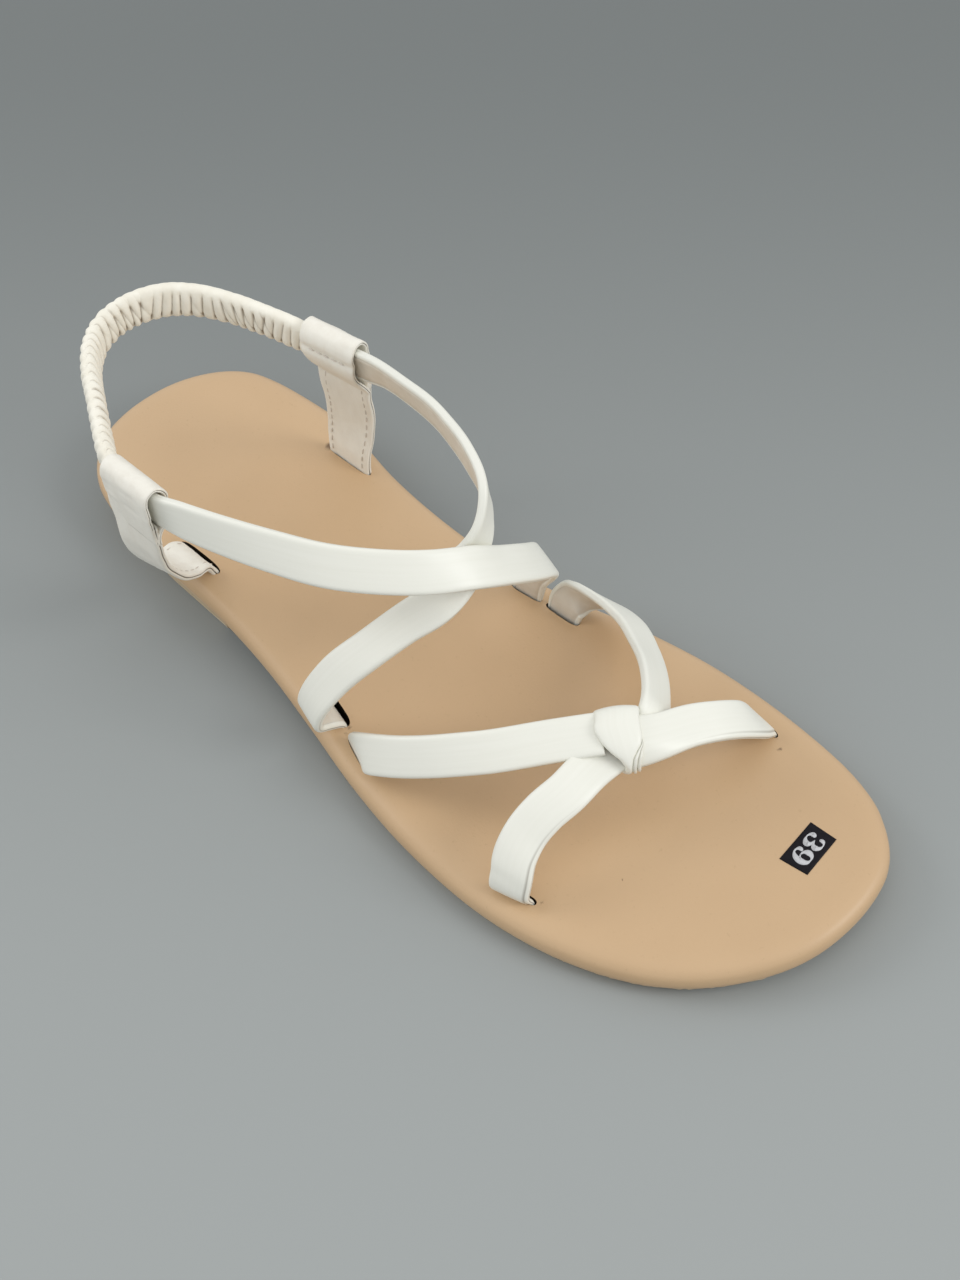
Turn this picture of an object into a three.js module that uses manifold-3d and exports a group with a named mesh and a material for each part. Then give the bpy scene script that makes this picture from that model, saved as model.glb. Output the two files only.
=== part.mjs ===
// Flat slingback sandal, right shoe. Millimetres, +X to the toe, +Y to the inner side of the foot, +Z up.
// The tables give x from the back of the heel. The finished group stands with its origin under the
// middle of the sole, on the ground.
import * as THREE from "three";
import { mergeVertices } from "three/addons/utils/BufferGeometryUtils.js";
import Module from "manifold-3d";

// Sole
const SOLE_LENGTH = 255;
const HEEL_TIP_Y = 2.6;
const TOE_TIP_Y = 11.6;
const SOLE_STATIONS = 44;
// Outline of the footbed: distance from the centre line to the inner and the outer edge
const SOLE_EDGE = [
  { x: 2, inner: 16.0, outer: -9.4 },
  { x: 10, inner: 29.5, outer: -20.2 },
  { x: 20, inner: 35.6, outer: -25.6 },
  { x: 45, inner: 38.2, outer: -30.0 },
  { x: 60, inner: 37.0, outer: -30.8 },
  { x: 80, inner: 33.2, outer: -31.6 },
  { x: 100, inner: 32.2, outer: -33.7 },
  { x: 120, inner: 33.5, outer: -37.4 },
  { x: 140, inner: 37.0, outer: -41.6 },
  { x: 160, inner: 41.5, outer: -44.6 },
  { x: 180, inner: 44.7, outer: -45.5 },
  { x: 195, inner: 45.6, outer: -44.3 },
  { x: 210, inner: 45.2, outer: -40.9 },
  { x: 225, inner: 43.4, outer: -34.7 },
  { x: 235, inner: 40.6, outer: -28.1 },
  { x: 243, inner: 36.4, outer: -20.2 },
  { x: 253, inner: 24.4, outer: -2.8 },
];
const HEEL_RISE = 7.8;
const ARCH_START = 62;
const ARCH_END = 150;
const SPRING_START = 214;
const TOE_SPRING = 3.6;
const OUTSOLE_THICKNESS = 1.8;
const OUTSOLE_INSET = 1.5;
const FOOTBED_THICKNESS = 7.4;
// Rounded edge of the footbed, from its underside up: inset from the outline, share of the thickness
const FOOTBED_EDGE = [
  { inset: 1.6, up: 0.0 },
  { inset: 0.5, up: 0.1 },
  { inset: 0.0, up: 0.34 },
  { inset: 0.3, up: 0.6 },
  { inset: 1.4, up: 0.82 },
  { inset: 3.4, up: 0.95 },
  { inset: 6.5, up: 1.0 },
];
const LIFT_BREAST = 75;
const LIFT_INSET = 2.0;
const LIFT_TAPER = 0.8;
const LIFT_CORNER = 0.6;
const GAP = 0.3;

// Straps
const STRAP_WIDTH = 10.6;
const STRAP_THICKNESS = 2.2;
const STRAP_CORNER = 0.7;
const TAB_WIDTH = 15.6;
const TAB_THICKNESS = 2.2;
const SLOT_ROOM = 0.5;
// Slots in the footbed: middle, direction in plan in degrees, and length of what goes in
const SLOTS = {
  tabInner: { x: 67.3, y: 27.9, turn: 1, length: TAB_WIDTH },
  tabOuter: { x: 62.3, y: -23.6, turn: 0, length: TAB_WIDTH },
  instepInner: { x: 133.8, y: 29.3, turn: 3, length: STRAP_WIDTH },
  instepOuter: { x: 123.7, y: -30.6, turn: -14, length: STRAP_WIDTH },
  toeRearInner: { x: 145.9, y: 31.3, turn: 4, length: STRAP_WIDTH },
  toeRearOuter: { x: 136.4, y: -35.3, turn: -19, length: STRAP_WIDTH },
  toeFrontInner: { x: 205.6, y: 38.0, turn: -4, length: STRAP_WIDTH },
  toeFrontOuter: { x: 192.4, y: -37.3, turn: 15, length: STRAP_WIDTH },
};
// Centre lines of the straps. turn and lift give, in degrees, the plan direction and the slope of the
// line across the strap, from its toe-side edge to its heel-side edge.
const OVER_INSTEP = [
  { x: 74, y: -38, z: 60.8, turn: 90, lift: 88 },
  { x: 80, y: -37.9, z: 61, turn: 94, lift: 87 },
  { x: 88, y: -36.8, z: 62.4, turn: 106, lift: 76 },
  { x: 99, y: -34, z: 63.2, turn: 111, lift: 68 },
  { x: 112, y: -30.2, z: 64.3, turn: 116, lift: 58 },
  { x: 125.5, y: -24.9, z: 64.8, turn: 120, lift: 49 },
  { x: 136, y: -17.2, z: 63.8, turn: 126, lift: 42 },
  { x: 143, y: -8.9, z: 61.6, turn: 136, lift: 38 },
  { x: 147.5, y: 0.9, z: 57.9, turn: 149, lift: 31 },
  { x: 148.1, y: 10.2, z: 50.7, turn: 163, lift: 25 },
  { x: 147.2, y: 18.6, z: 43, turn: 168, lift: 28 },
  { x: 144.2, y: 25.4, z: 34.6, turn: 176, lift: 22 },
  { x: 140, y: 30.8, z: 24.4, turn: 181, lift: 12 },
  { x: 136.4, y: 31.4, z: 16.8, turn: 183, lift: 3 },
];
const UNDER_INSTEP = [
  { x: 74, y: 27.3, z: 60.2, turn: -97, lift: 88 },
  { x: 80.4, y: 28, z: 60.8, turn: -120, lift: 84 },
  { x: 88.8, y: 27.6, z: 63.2, turn: -140, lift: 74 },
  { x: 101.2, y: 25.8, z: 65.6, turn: -136, lift: 76 },
  { x: 112, y: 23.9, z: 67.1, turn: -140, lift: 81 },
  { x: 120.1, y: 21.6, z: 67.7, turn: -147, lift: 84 },
  { x: 129.6, y: 18.1, z: 68.3, turn: -56, lift: 86 },
  { x: 137.7, y: 14.3, z: 66.8, turn: -47, lift: 71 },
  { x: 141.4, y: 10.2, z: 61.5, turn: -66, lift: 52 },
  { x: 142.2, y: 5.2, z: 55.6, turn: -104, lift: 44 },
  { x: 143.1, y: -2.1, z: 52.2, turn: -150, lift: 30 },
  { x: 142.4, y: -8.3, z: 49, turn: 170, lift: 20 },
  { x: 138.2, y: -15.5, z: 44.4, turn: 158, lift: 14 },
  { x: 134.1, y: -24.1, z: 39.4, turn: 160, lift: 12 },
  { x: 129.4, y: -31.4, z: 32.8, turn: 166, lift: 14 },
  { x: 125.6, y: -37.4, z: 24, turn: 163, lift: 11 },
  { x: 124, y: -38.4, z: 17.6, turn: 165, lift: 10 },
  { x: 123.4, y: -35.4, z: 13.6, turn: 170, lift: 4 },
];
const TOE_REAR_OUTER = [
  { x: 137.4, y: -36.2, z: 12.6, turn: 160, lift: 8 },
  { x: 141.2, y: -36.6, z: 15.6, turn: 152, lift: 24 },
  { x: 146.7, y: -35.6, z: 19, turn: 146, lift: 34 },
  { x: 152.4, y: -33.6, z: 22, turn: 142, lift: 40 },
  { x: 159.5, y: -30, z: 25.4, turn: 139, lift: 42 },
  { x: 165.6, y: -25.8, z: 27.8, turn: 136, lift: 40 },
  { x: 171.1, y: -21.2, z: 29.4, turn: 135, lift: 37 },
  { x: 180.6, y: -10.6, z: 31.2, turn: 134, lift: 28 },
  { x: 188, y: -1.6, z: 32, turn: 134, lift: 22 },
];
const TOE_REAR_INNER = [
  { x: 146.4, y: 32.6, z: 13, turn: 186, lift: 0 },
  { x: 148.8, y: 34.2, z: 15.4, turn: 200, lift: 16 },
  { x: 155.2, y: 35.9, z: 17.4, turn: 226, lift: 44 },
  { x: 165.4, y: 34.4, z: 19.7, turn: 242, lift: 44 },
  { x: 175, y: 29, z: 22.9, turn: 230, lift: 46 },
  { x: 183.3, y: 22.7, z: 26.4, turn: 214, lift: 50 },
  { x: 190.5, y: 15, z: 29.6, turn: 200, lift: 52 },
  { x: 193.3, y: 11, z: 31.4, turn: 192, lift: 46 },
];
const TOE_FRONT_OUTER = [
  { x: 192.4, y: -39, z: 12.6, turn: 195, lift: 0 },
  { x: 191.9, y: -37.4, z: 16.8, turn: 190, lift: 10 },
  { x: 190.5, y: -34.4, z: 20.6, turn: 184, lift: 18 },
  { x: 189.7, y: -29.4, z: 24, turn: 180, lift: 25 },
  { x: 190.2, y: -23.8, z: 26.8, turn: 173, lift: 26 },
  { x: 191.6, y: -17.8, z: 29, turn: 166, lift: 25 },
  { x: 192.4, y: -10, z: 30.8, turn: 160, lift: 23 },
  { x: 193.4, y: -2.6, z: 31.8, turn: 156, lift: 22 },
];
const TOE_FRONT_INNER = [
  { x: 194, y: 1, z: 32.1, turn: 158, lift: 17 },
  { x: 198, y: 7.1, z: 31.2, turn: 154, lift: 10 },
  { x: 201.3, y: 15.3, z: 29.3, turn: 151, lift: 13 },
  { x: 204.5, y: 22, z: 26.9, turn: 152, lift: 8 },
  { x: 207.2, y: 28.1, z: 22.7, turn: 154, lift: 6 },
  { x: 208.7, y: 32.8, z: 17, turn: 166, lift: 6 },
  { x: 207.4, y: 37.8, z: 12.8, turn: 174, lift: 2 },
];
// Flat knot over the toes: a turn of strap whose axis follows the outer rear arm
const KNOT = { x: 191.4, y: 0.6, z: 31.6, length: 13, width: 15.6, height: 8.4, turn: 50, lift: 22 };
const KNOT_RIM = [
  { along: -0.5, size: 0.84 },
  { along: -0.42, size: 0.96 },
  { along: -0.2, size: 1 },
  { along: 0.2, size: 1 },
  { along: 0.42, size: 0.96 },
  { along: 0.5, size: 0.84 },
];

// Side tabs: legs from the slots up to the sleeves
const TAB_LEG_INNER = [
  { x: 67.6, y: 28.4, z: 22, turn: 3, lift: 0 },
  { x: 68.6, y: 29.6, z: 30, turn: 10, lift: -2 },
  { x: 69.6, y: 29.8, z: 38, turn: 14, lift: -3 },
  { x: 70.4, y: 29.2, z: 46, turn: 13, lift: -2 },
];
const TAB_LEG_OUTER = [
  { x: 62.6, y: -26.4, z: 19.4, turn: 2, lift: 4 },
  { x: 63.8, y: -31, z: 21.6, turn: 4, lift: 7 },
  { x: 65.4, y: -35.4, z: 26.2, turn: 6, lift: 8 },
  { x: 67, y: -38.8, z: 33.6, turn: 6, lift: 7 },
  { x: 68.8, y: -40.4, z: 42, turn: 4, lift: 5 },
  { x: 70.2, y: -40.6, z: 49, turn: 2, lift: 3 },
];
const SLEEVE_LENGTH = 17.6;
const SLEEVE_HEIGHT = 14.6;
const SLEEVE_DEPTH = 7.4;
const SLEEVE_WALL = 1.1;
const SLEEVES = {
  inner: { x: 71.6, y: 27, z: 60.5, turn: 7, leg: 1 },
  outer: { x: 71, y: -38, z: 61, turn: 0, leg: -1 },
};

// Gathered elastic round the heel
const ELASTIC_HEIGHT = 10;
const ELASTIC_THICKNESS = 4.6;
const GATHERS = 34;
const GATHER_DEPTH = 0.55;
const ELASTIC_PATH = [
  { x: 70, y: 26.7, z: 60.2 },
  { x: 62, y: 25.7, z: 60.8 },
  { x: 51.2, y: 22.4, z: 62.5 },
  { x: 42.6, y: 18.6, z: 64.5 },
  { x: 34.4, y: 14, z: 66 },
  { x: 28.4, y: 8.6, z: 66.8 },
  { x: 24.6, y: 2.6, z: 66.8 },
  { x: 22.9, y: -4, z: 66.5 },
  { x: 23.6, y: -10.8, z: 66 },
  { x: 27.6, y: -17.2, z: 65.5 },
  { x: 34.2, y: -22.6, z: 65 },
  { x: 42.4, y: -27.4, z: 64.4 },
  { x: 50.8, y: -32.4, z: 63.4 },
  { x: 57, y: -35.9, z: 62.2 },
  { x: 62.6, y: -37.6, z: 61.3 },
  { x: 69.4, y: -38, z: 61 },
];

const wasm = await Module();
wasm.setup();

const FINISHES = {
  rubber: { color: 0xd9c3a0, roughness: 0.85 },
  crepe: { color: 0xd2b78b, roughness: 0.9 },
  tanLeather: { color: 0xcdab80, roughness: 0.5 },
  whiteLeather: { color: 0xeeece2, roughness: 0.42 },
  creamElastic: { color: 0xe8e0d0, roughness: 0.7 },
};

// Closed mesh as a solid for joining and cutting
function toSolid(geometry) {
  const bare = geometry.clone();
  bare.deleteAttribute("normal");
  bare.deleteAttribute("uv");
  const merged = mergeVertices(bare, 1e-4);
  return new wasm.Manifold(new wasm.Mesh({
    numProp: 3,
    vertProperties: new Float32Array(merged.attributes.position.array),
    triVerts: new Uint32Array(merged.index.array),
  }));
}

function toMesh(solid, name, finish) {
  const mesh = solid.getMesh();
  const geometry = new THREE.BufferGeometry();
  geometry.setAttribute("position", new THREE.BufferAttribute(new Float32Array(mesh.vertProperties), 3));
  geometry.setIndex(new THREE.BufferAttribute(new Uint32Array(mesh.triVerts), 1));
  geometry.computeVertexNormals();
  const material = new THREE.MeshStandardMaterial({ ...FINISHES[finish], metalness: 0 });
  const piece = new THREE.Mesh(geometry, material);
  piece.name = name;
  return piece;
}

// Skin over rings of equal length, closed by the given triangles over the first and the last ring
function loft(rings, capTriangles) {
  const count = rings[0].length;
  const positions = rings.flat().flatMap((point) => [point.x, point.y, point.z]);
  const faces = [];
  for (let ring = 0; ring + 1 < rings.length; ring += 1) {
    for (let i = 0; i < count; i += 1) {
      const a = ring * count + i;
      const b = ring * count + ((i + 1) % count);
      faces.push(a, b, b + count, a, b + count, a + count);
    }
  }
  const last = (rings.length - 1) * count;
  for (const [a, b, c] of capTriangles) {
    faces.push(a, c, b, last + a, last + b, last + c);
  }
  const geometry = new THREE.BufferGeometry();
  geometry.setAttribute("position", new THREE.Float32BufferAttribute(positions, 3));
  geometry.setIndex(faces);
  return geometry;
}

// Fan over a ring that bulges everywhere
function fanCap(count) {
  return Array.from({ length: count - 2 }, (_, i) => [0, i + 1, i + 2]);
}

// Rungs from side to side over a ring whose two halves mirror each other from heel tip to toe tip
function ladderCap(count) {
  const triangles = [[0, 1, count - 1]];
  for (let i = 1; i < count / 2 - 1; i += 1) {
    triangles.push([i, i + 1, count - i], [i + 1, count - i - 1, count - i]);
  }
  triangles.push([count / 2 - 1, count / 2, count / 2 + 1]);
  return triangles;
}

// Smooth curve through table rows, by cubic pieces whose slopes come from the neighbouring rows
function smoothTable(knots, values, at) {
  let i = 0;
  while (i < knots.length - 2 && at > knots[i + 1]) {
    i += 1;
  }
  const slope = (k) => {
    const low = Math.max(k - 1, 0);
    const high = Math.min(k + 1, knots.length - 1);
    return (values[high] - values[low]) / (knots[high] - knots[low]);
  };
  const span = knots[i + 1] - knots[i];
  const t = (at - knots[i]) / span;
  const rise = values[i] * (1 + 2 * t) * (1 - t) ** 2 + values[i + 1] * t * t * (3 - 2 * t);
  return rise + span * (slope(i) * t * (1 - t) ** 2 - slope(i + 1) * t * t * (1 - t));
}

// Angle that runs from 0 at the heel tip to pi at the toe tip, so that the rounded ends stay smooth
function sweepAngle(x) {
  return Math.acos(1 - (2 * x) / SOLE_LENGTH);
}

const EDGE_KNOTS = [0, ...SOLE_EDGE.map((row) => sweepAngle(row.x)), Math.PI];
const INNER_EDGE = [HEEL_TIP_Y, ...SOLE_EDGE.map((row) => row.inner), TOE_TIP_Y];
const OUTER_EDGE = [HEEL_TIP_Y, ...SOLE_EDGE.map((row) => row.outer), TOE_TIP_Y];

// Outline of the footbed in plan, from the heel tip along the outer side to the toe and back
function soleOutline() {
  const outer = [];
  const inner = [];
  for (let i = 0; i <= SOLE_STATIONS; i += 1) {
    const angle = (Math.PI * i) / SOLE_STATIONS;
    const x = (SOLE_LENGTH * (1 - Math.cos(angle))) / 2;
    outer.push(new THREE.Vector2(x, smoothTable(EDGE_KNOTS, OUTER_EDGE, angle)));
    inner.push(new THREE.Vector2(x, smoothTable(EDGE_KNOTS, INNER_EDGE, angle)));
  }
  return [...outer, ...inner.slice(1, -1).reverse()];
}

// Outline moved inwards by the same distance all round
function insetOutline(distance) {
  const outline = soleOutline();
  return outline.map((point, i) => {
    const before = outline[(i + outline.length - 1) % outline.length];
    const after = outline[(i + 1) % outline.length];
    const along = after.clone().sub(before).normalize();
    return new THREE.Vector2(point.x - along.y * distance, point.y + along.x * distance);
  });
}

// Height of the outsole's underside: level under the forefoot, raised over the heel lift, sprung at the toe
function undersideHeight(x) {
  const up = THREE.MathUtils.clamp((ARCH_END - x) / (ARCH_END - ARCH_START), 0, 1);
  const spring = THREE.MathUtils.clamp((x - SPRING_START) / (SOLE_LENGTH - SPRING_START), 0, 1);
  return HEEL_RISE * up * up * (3 - 2 * up) + TOE_SPRING * spring * spring;
}

function soleRing(inset, height) {
  return insetOutline(inset).map((p) => new THREE.Vector3(p.x, p.y, undersideHeight(p.x) + height));
}

function footbedTop(x) {
  return undersideHeight(x) + OUTSOLE_THICKNESS + FOOTBED_THICKNESS;
}

function outsole() {
  const rings = [soleRing(OUTSOLE_INSET, 0), soleRing(OUTSOLE_INSET, OUTSOLE_THICKNESS - GAP)];
  return toSolid(loft(rings, ladderCap(2 * SOLE_STATIONS)));
}

// Box in shoe measures, turned in plan about its own middle
function block(x, y, z, sizeX, sizeY, sizeZ, turn = 0) {
  const geometry = new THREE.BoxGeometry(sizeX, sizeY, sizeZ);
  geometry.rotateZ(THREE.MathUtils.degToRad(turn));
  geometry.translate(x, y, z);
  return toSolid(geometry);
}

// Heel block: flat on the ground, its top follows the outsole, cut square at the breast
function heelLift() {
  const sides = [
    { inset: LIFT_INSET + LIFT_TAPER + LIFT_CORNER, share: 0 },
    { inset: LIFT_INSET + LIFT_TAPER, share: 0.1 },
    { inset: LIFT_INSET, share: 1 },
  ];
  const rings = sides.map(({ inset, share }) => insetOutline(inset).map((p) => (
    new THREE.Vector3(p.x, p.y, share * Math.max(undersideHeight(p.x) - GAP, 1))
  )));
  const whole = toSolid(loft(rings, ladderCap(2 * SOLE_STATIONS)));
  return whole.intersect(block(LIFT_BREAST / 2, 0, 0, LIFT_BREAST, 120, 60));
}

// Rows of a strap's end, straight up out of its slot
function slotRows(slotName, sign) {
  const slot = SLOTS[slotName];
  const bottom = undersideHeight(slot.x) + OUTSOLE_THICKNESS + GAP;
  const turn = sign > 0 ? slot.turn : slot.turn + 180;
  return [
    { x: slot.x, y: slot.y, z: bottom, turn, lift: 0 },
    { x: slot.x, y: slot.y, z: footbedTop(slot.x) - 1, turn, lift: 0 },
  ];
}

function acrossVector({ turn, lift }) {
  const plan = THREE.MathUtils.degToRad(turn);
  const slope = THREE.MathUtils.degToRad(lift);
  return new THREE.Vector3(Math.cos(plan) * Math.cos(slope), Math.sin(plan) * Math.cos(slope), Math.sin(slope));
}

// Where a leg joins the outer wall of its sleeve
function sleeveSeat({ x, y, z, turn, leg: side }) {
  const wallY = y + side * (SLEEVE_DEPTH / 2 - TAB_THICKNESS / 2);
  return { x, y: wallY, z: z - SLEEVE_HEIGHT / 2 + 3, turn, lift: 0 };
}

// Stations along a path: point, line across the strap and outward face
function strapStations(rows) {
  const steps = 2 * rows.length + 8;
  const path = new THREE.CatmullRomCurve3(rows.map((r) => new THREE.Vector3(r.x, r.y, r.z)), false, "centripetal");
  const across = new THREE.CatmullRomCurve3(rows.map(acrossVector));
  return Array.from({ length: steps + 1 }, (_, i) => {
    const point = path.getPoint(i / steps);
    const tangent = path.getTangent(i / steps);
    const side = across.getPoint(i / steps);
    side.addScaledVector(tangent, -side.dot(tangent)).normalize();
    return { point, side, face: new THREE.Vector3().crossVectors(tangent, side) };
  });
}

// Flat strap with softened edges, swept along its stations
function band(stations, width, thickness) {
  const halfWidth = width / 2;
  const half = thickness / 2;
  const flat = halfWidth - STRAP_CORNER;
  const thin = half - STRAP_CORNER;
  const section = [
    [halfWidth, -thin], [halfWidth, thin], [flat, half], [-flat, half],
    [-halfWidth, thin], [-halfWidth, -thin], [-flat, -half], [flat, -half],
  ];
  const rings = stations.map(({ point, side, face }) => section.map(([a, b]) => (
    point.clone().addScaledVector(side, a).addScaledVector(face, b)
  )));
  return toSolid(loft(rings, fanCap(section.length)));
}

// Stations of the six straps, each with one end in its slot
const STRAP_LINES = {
  overInstep: strapStations([...OVER_INSTEP, ...slotRows("instepInner", -1).reverse()]),
  underInstep: strapStations([...UNDER_INSTEP, ...slotRows("instepOuter", -1).reverse()]),
  toeRearOuter: strapStations([...slotRows("toeRearOuter", -1), ...TOE_REAR_OUTER]),
  toeRearInner: strapStations([...slotRows("toeRearInner", -1), ...TOE_REAR_INNER]),
  toeFrontOuter: strapStations([...slotRows("toeFrontOuter", -1), ...TOE_FRONT_OUTER]),
  toeFrontInner: strapStations([...TOE_FRONT_INNER, ...slotRows("toeFrontInner", -1).reverse()]),
};
// Stations of the legs of the side tabs, up to the wall of their sleeves
const LEG_LINES = {
  inner: strapStations([...slotRows("tabInner", 1), ...TAB_LEG_INNER, sleeveSeat(SLEEVES.inner)]),
  outer: strapStations([...slotRows("tabOuter", 1), ...TAB_LEG_OUTER, sleeveSeat(SLEEVES.outer)]),
};

// room widens and thickens the band, for cutting a clear way
function strap(line, room = 0) {
  return band(line, STRAP_WIDTH + 2 * room, STRAP_THICKNESS + 2 * room);
}

function leg(line, room = 0) {
  return band(line, TAB_WIDTH + 2 * room, TAB_THICKNESS + 2 * room);
}

function slotCutter(slot) {
  const depth = 4 * FOOTBED_THICKNESS;
  const length = slot.length + 2 * SLOT_ROOM;
  const width = STRAP_THICKNESS + 2 * SLOT_ROOM;
  return block(slot.x, slot.y, footbedTop(slot.x), length, width, depth, slot.turn);
}

// The slots stand clear of the straps, also where a strap leans as it leaves its slot
function footbed() {
  const rings = FOOTBED_EDGE.map(({ inset, up }) => soleRing(inset, OUTSOLE_THICKNESS + up * FOOTBED_THICKNESS));
  const cutters = [
    ...Object.values(SLOTS).map(slotCutter),
    ...Object.values(STRAP_LINES).map((line) => strap(line, SLOT_ROOM)),
    ...Object.values(LEG_LINES).map((line) => leg(line, SLOT_ROOM)),
  ];
  return cutters.reduce((solid, cutter) => solid.subtract(cutter), toSolid(loft(rings, ladderCap(2 * SOLE_STATIONS))));
}

function instepStraps() {
  return strap(STRAP_LINES.overInstep).add(strap(STRAP_LINES.underInstep));
}

// Flat oval outline: how far along each of its two axes, as shares of its half sizes
function flatOval(angle, roundness) {
  const reach = (value) => Math.sign(value) * Math.abs(value) ** roundness;
  return [reach(Math.cos(angle)), reach(Math.sin(angle))];
}

function knot() {
  const plan = THREE.MathUtils.degToRad(KNOT.turn);
  const axis = new THREE.Vector3(Math.cos(plan), Math.sin(plan), 0);
  const side = acrossVector({ turn: KNOT.turn + 90, lift: KNOT.lift });
  const face = new THREE.Vector3().crossVectors(axis, side);
  const sides = 20;
  const rings = KNOT_RIM.map(({ along, size }) => Array.from({ length: sides }, (_, k) => {
    const [across, out] = flatOval((2 * Math.PI * k) / sides, 0.62);
    const point = new THREE.Vector3(KNOT.x, KNOT.y, KNOT.z).addScaledVector(axis, along * KNOT.length);
    point.addScaledVector(side, across * size * KNOT.width / 2);
    return point.addScaledVector(face, out * size * KNOT.height / 2);
  }));
  return toSolid(loft(rings, fanCap(sides)));
}

function toeStraps() {
  const { toeRearOuter, toeRearInner, toeFrontOuter, toeFrontInner } = STRAP_LINES;
  const arms = [toeRearOuter, toeRearInner, toeFrontOuter, toeFrontInner];
  return arms.reduce((joined, arm) => joined.add(strap(arm)), knot());
}

// Upright oval ring round the strap and the elastic
function sleeve({ x, y, z, turn }) {
  const loop = (height, depth, length) => {
    const outline = new THREE.Shape();
    const points = 20;
    for (let i = 0; i < points; i += 1) {
      const angle = (2 * Math.PI * i) / points;
      const roundness = 0.55;
      const px = Math.sign(Math.cos(angle)) * Math.abs(Math.cos(angle)) ** roundness * (depth / 2);
      const pz = Math.sign(Math.sin(angle)) * Math.abs(Math.sin(angle)) ** roundness * (height / 2);
      outline[i === 0 ? "moveTo" : "lineTo"](px, pz);
    }
    outline.closePath();
    const geometry = new THREE.ExtrudeGeometry(outline, { depth: length, bevelEnabled: false });
    geometry.translate(0, 0, -length / 2);
    geometry.rotateX(Math.PI / 2);
    geometry.rotateZ(THREE.MathUtils.degToRad(turn - 90));
    geometry.translate(x, y, z);
    return toSolid(geometry);
  };
  const outside = loop(SLEEVE_HEIGHT, SLEEVE_DEPTH, SLEEVE_LENGTH);
  const inside = loop(SLEEVE_HEIGHT - 2 * SLEEVE_WALL, SLEEVE_DEPTH - 2 * SLEEVE_WALL, 2 * SLEEVE_LENGTH);
  return outside.subtract(inside);
}

function sideTab(legLine, ring) {
  return leg(legLine).add(sleeve(ring));
}

// Heel strap: an upright oval section, pinched in between its gathers
function heelElastic() {
  const rows = ELASTIC_PATH;
  const path = new THREE.CatmullRomCurve3(rows.map((r) => new THREE.Vector3(r.x, r.y, r.z)), false, "centripetal");
  const perGather = 3;
  const steps = GATHERS * perGather;
  const up = new THREE.Vector3(0, 0, 1);
  const rings = Array.from({ length: steps + 1 }, (_, i) => {
    const point = path.getPointAt(i / steps);
    const tangent = path.getTangentAt(i / steps);
    const outward = new THREE.Vector3().crossVectors(up, tangent).normalize();
    const inSleeve = Math.min(i, steps - i) < 3 * perGather;
    const pinch = inSleeve ? 1 : Math.max(0, Math.cos((2 * Math.PI * i) / perGather)) * -1 + 1;
    const grow = inSleeve ? -GATHER_DEPTH : GATHER_DEPTH * (pinch - 0.5);
    const sides = 10;
    return Array.from({ length: sides }, (_unused, k) => {
      const angle = (2 * Math.PI * k) / sides;
      const reach = (value, size) => Math.sign(value) * Math.abs(value) ** 0.7 * (size / 2 + grow);
      const across = reach(Math.cos(angle), ELASTIC_THICKNESS);
      const high = reach(Math.sin(angle), ELASTIC_HEIGHT);
      return point.clone().addScaledVector(outward, across).addScaledVector(up, high);
    });
  });
  return toSolid(loft(rings, fanCap(rings[0].length)));
}

const pieces = [
  toMesh(outsole(), "outsole", "rubber"),
  toMesh(heelLift(), "heel_lift", "crepe"),
  toMesh(footbed(), "footbed", "tanLeather"),
  toMesh(instepStraps(), "instep_straps", "whiteLeather"),
  toMesh(toeStraps(), "toe_straps", "whiteLeather"),
  toMesh(sideTab(LEG_LINES.inner, SLEEVES.inner), "tab_medial", "whiteLeather"),
  toMesh(sideTab(LEG_LINES.outer, SLEEVES.outer), "tab_lateral", "whiteLeather"),
  toMesh(heelElastic(), "heel_elastic", "creamElastic"),
];

const sandal = new THREE.Group();
for (const piece of pieces) {
  piece.geometry.translate(-SOLE_LENGTH / 2, 0, 0);
  sandal.add(piece);
}

export default sandal;
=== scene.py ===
"""Looks of a flat slingback sandal for the right foot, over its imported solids.

Tables are in millimetres: x from the back of the heel to the toe, y to the inner side of the foot, z up.
A strap row is (x, y, z, turn, lift): turn and lift give, in degrees, the plan direction and the slope of
the line across the strap, from its toe-side edge to its heel-side edge.
"""

from functools import cache

import bpy
import bmesh
import numpy as np
from mathutils import Matrix, Vector


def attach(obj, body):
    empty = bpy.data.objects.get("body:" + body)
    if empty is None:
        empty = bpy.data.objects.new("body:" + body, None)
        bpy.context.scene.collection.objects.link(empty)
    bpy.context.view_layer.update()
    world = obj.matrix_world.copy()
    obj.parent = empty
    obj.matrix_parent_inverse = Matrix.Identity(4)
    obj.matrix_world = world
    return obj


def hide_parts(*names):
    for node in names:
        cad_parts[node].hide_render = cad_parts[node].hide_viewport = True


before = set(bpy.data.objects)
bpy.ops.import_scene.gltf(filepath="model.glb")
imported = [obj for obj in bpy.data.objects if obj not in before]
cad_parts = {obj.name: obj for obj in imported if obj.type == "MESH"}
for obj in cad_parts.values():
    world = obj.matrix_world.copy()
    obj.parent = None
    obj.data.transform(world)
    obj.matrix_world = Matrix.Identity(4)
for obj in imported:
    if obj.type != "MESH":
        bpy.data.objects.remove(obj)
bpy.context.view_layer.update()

SOLE_LENGTH = 255.0
HEEL_TIP_Y = 2.6
TOE_TIP_Y = 11.6
HEEL_RISE = 7.8
ARCH = (62.0, 150.0)
SPRING_START = 214.0
TOE_SPRING = 3.6
OUTSOLE_THICKNESS = 1.8
FOOTBED_THICKNESS = 7.4
PIECE_GAP = 0.3
STRAP_WIDTH = 10.6
STRAP_THICKNESS = 2.2
TAB_WIDTH = 15.6
LOOP_HEIGHT = 14.6
LOOP_DEPTH = 7.4
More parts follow.
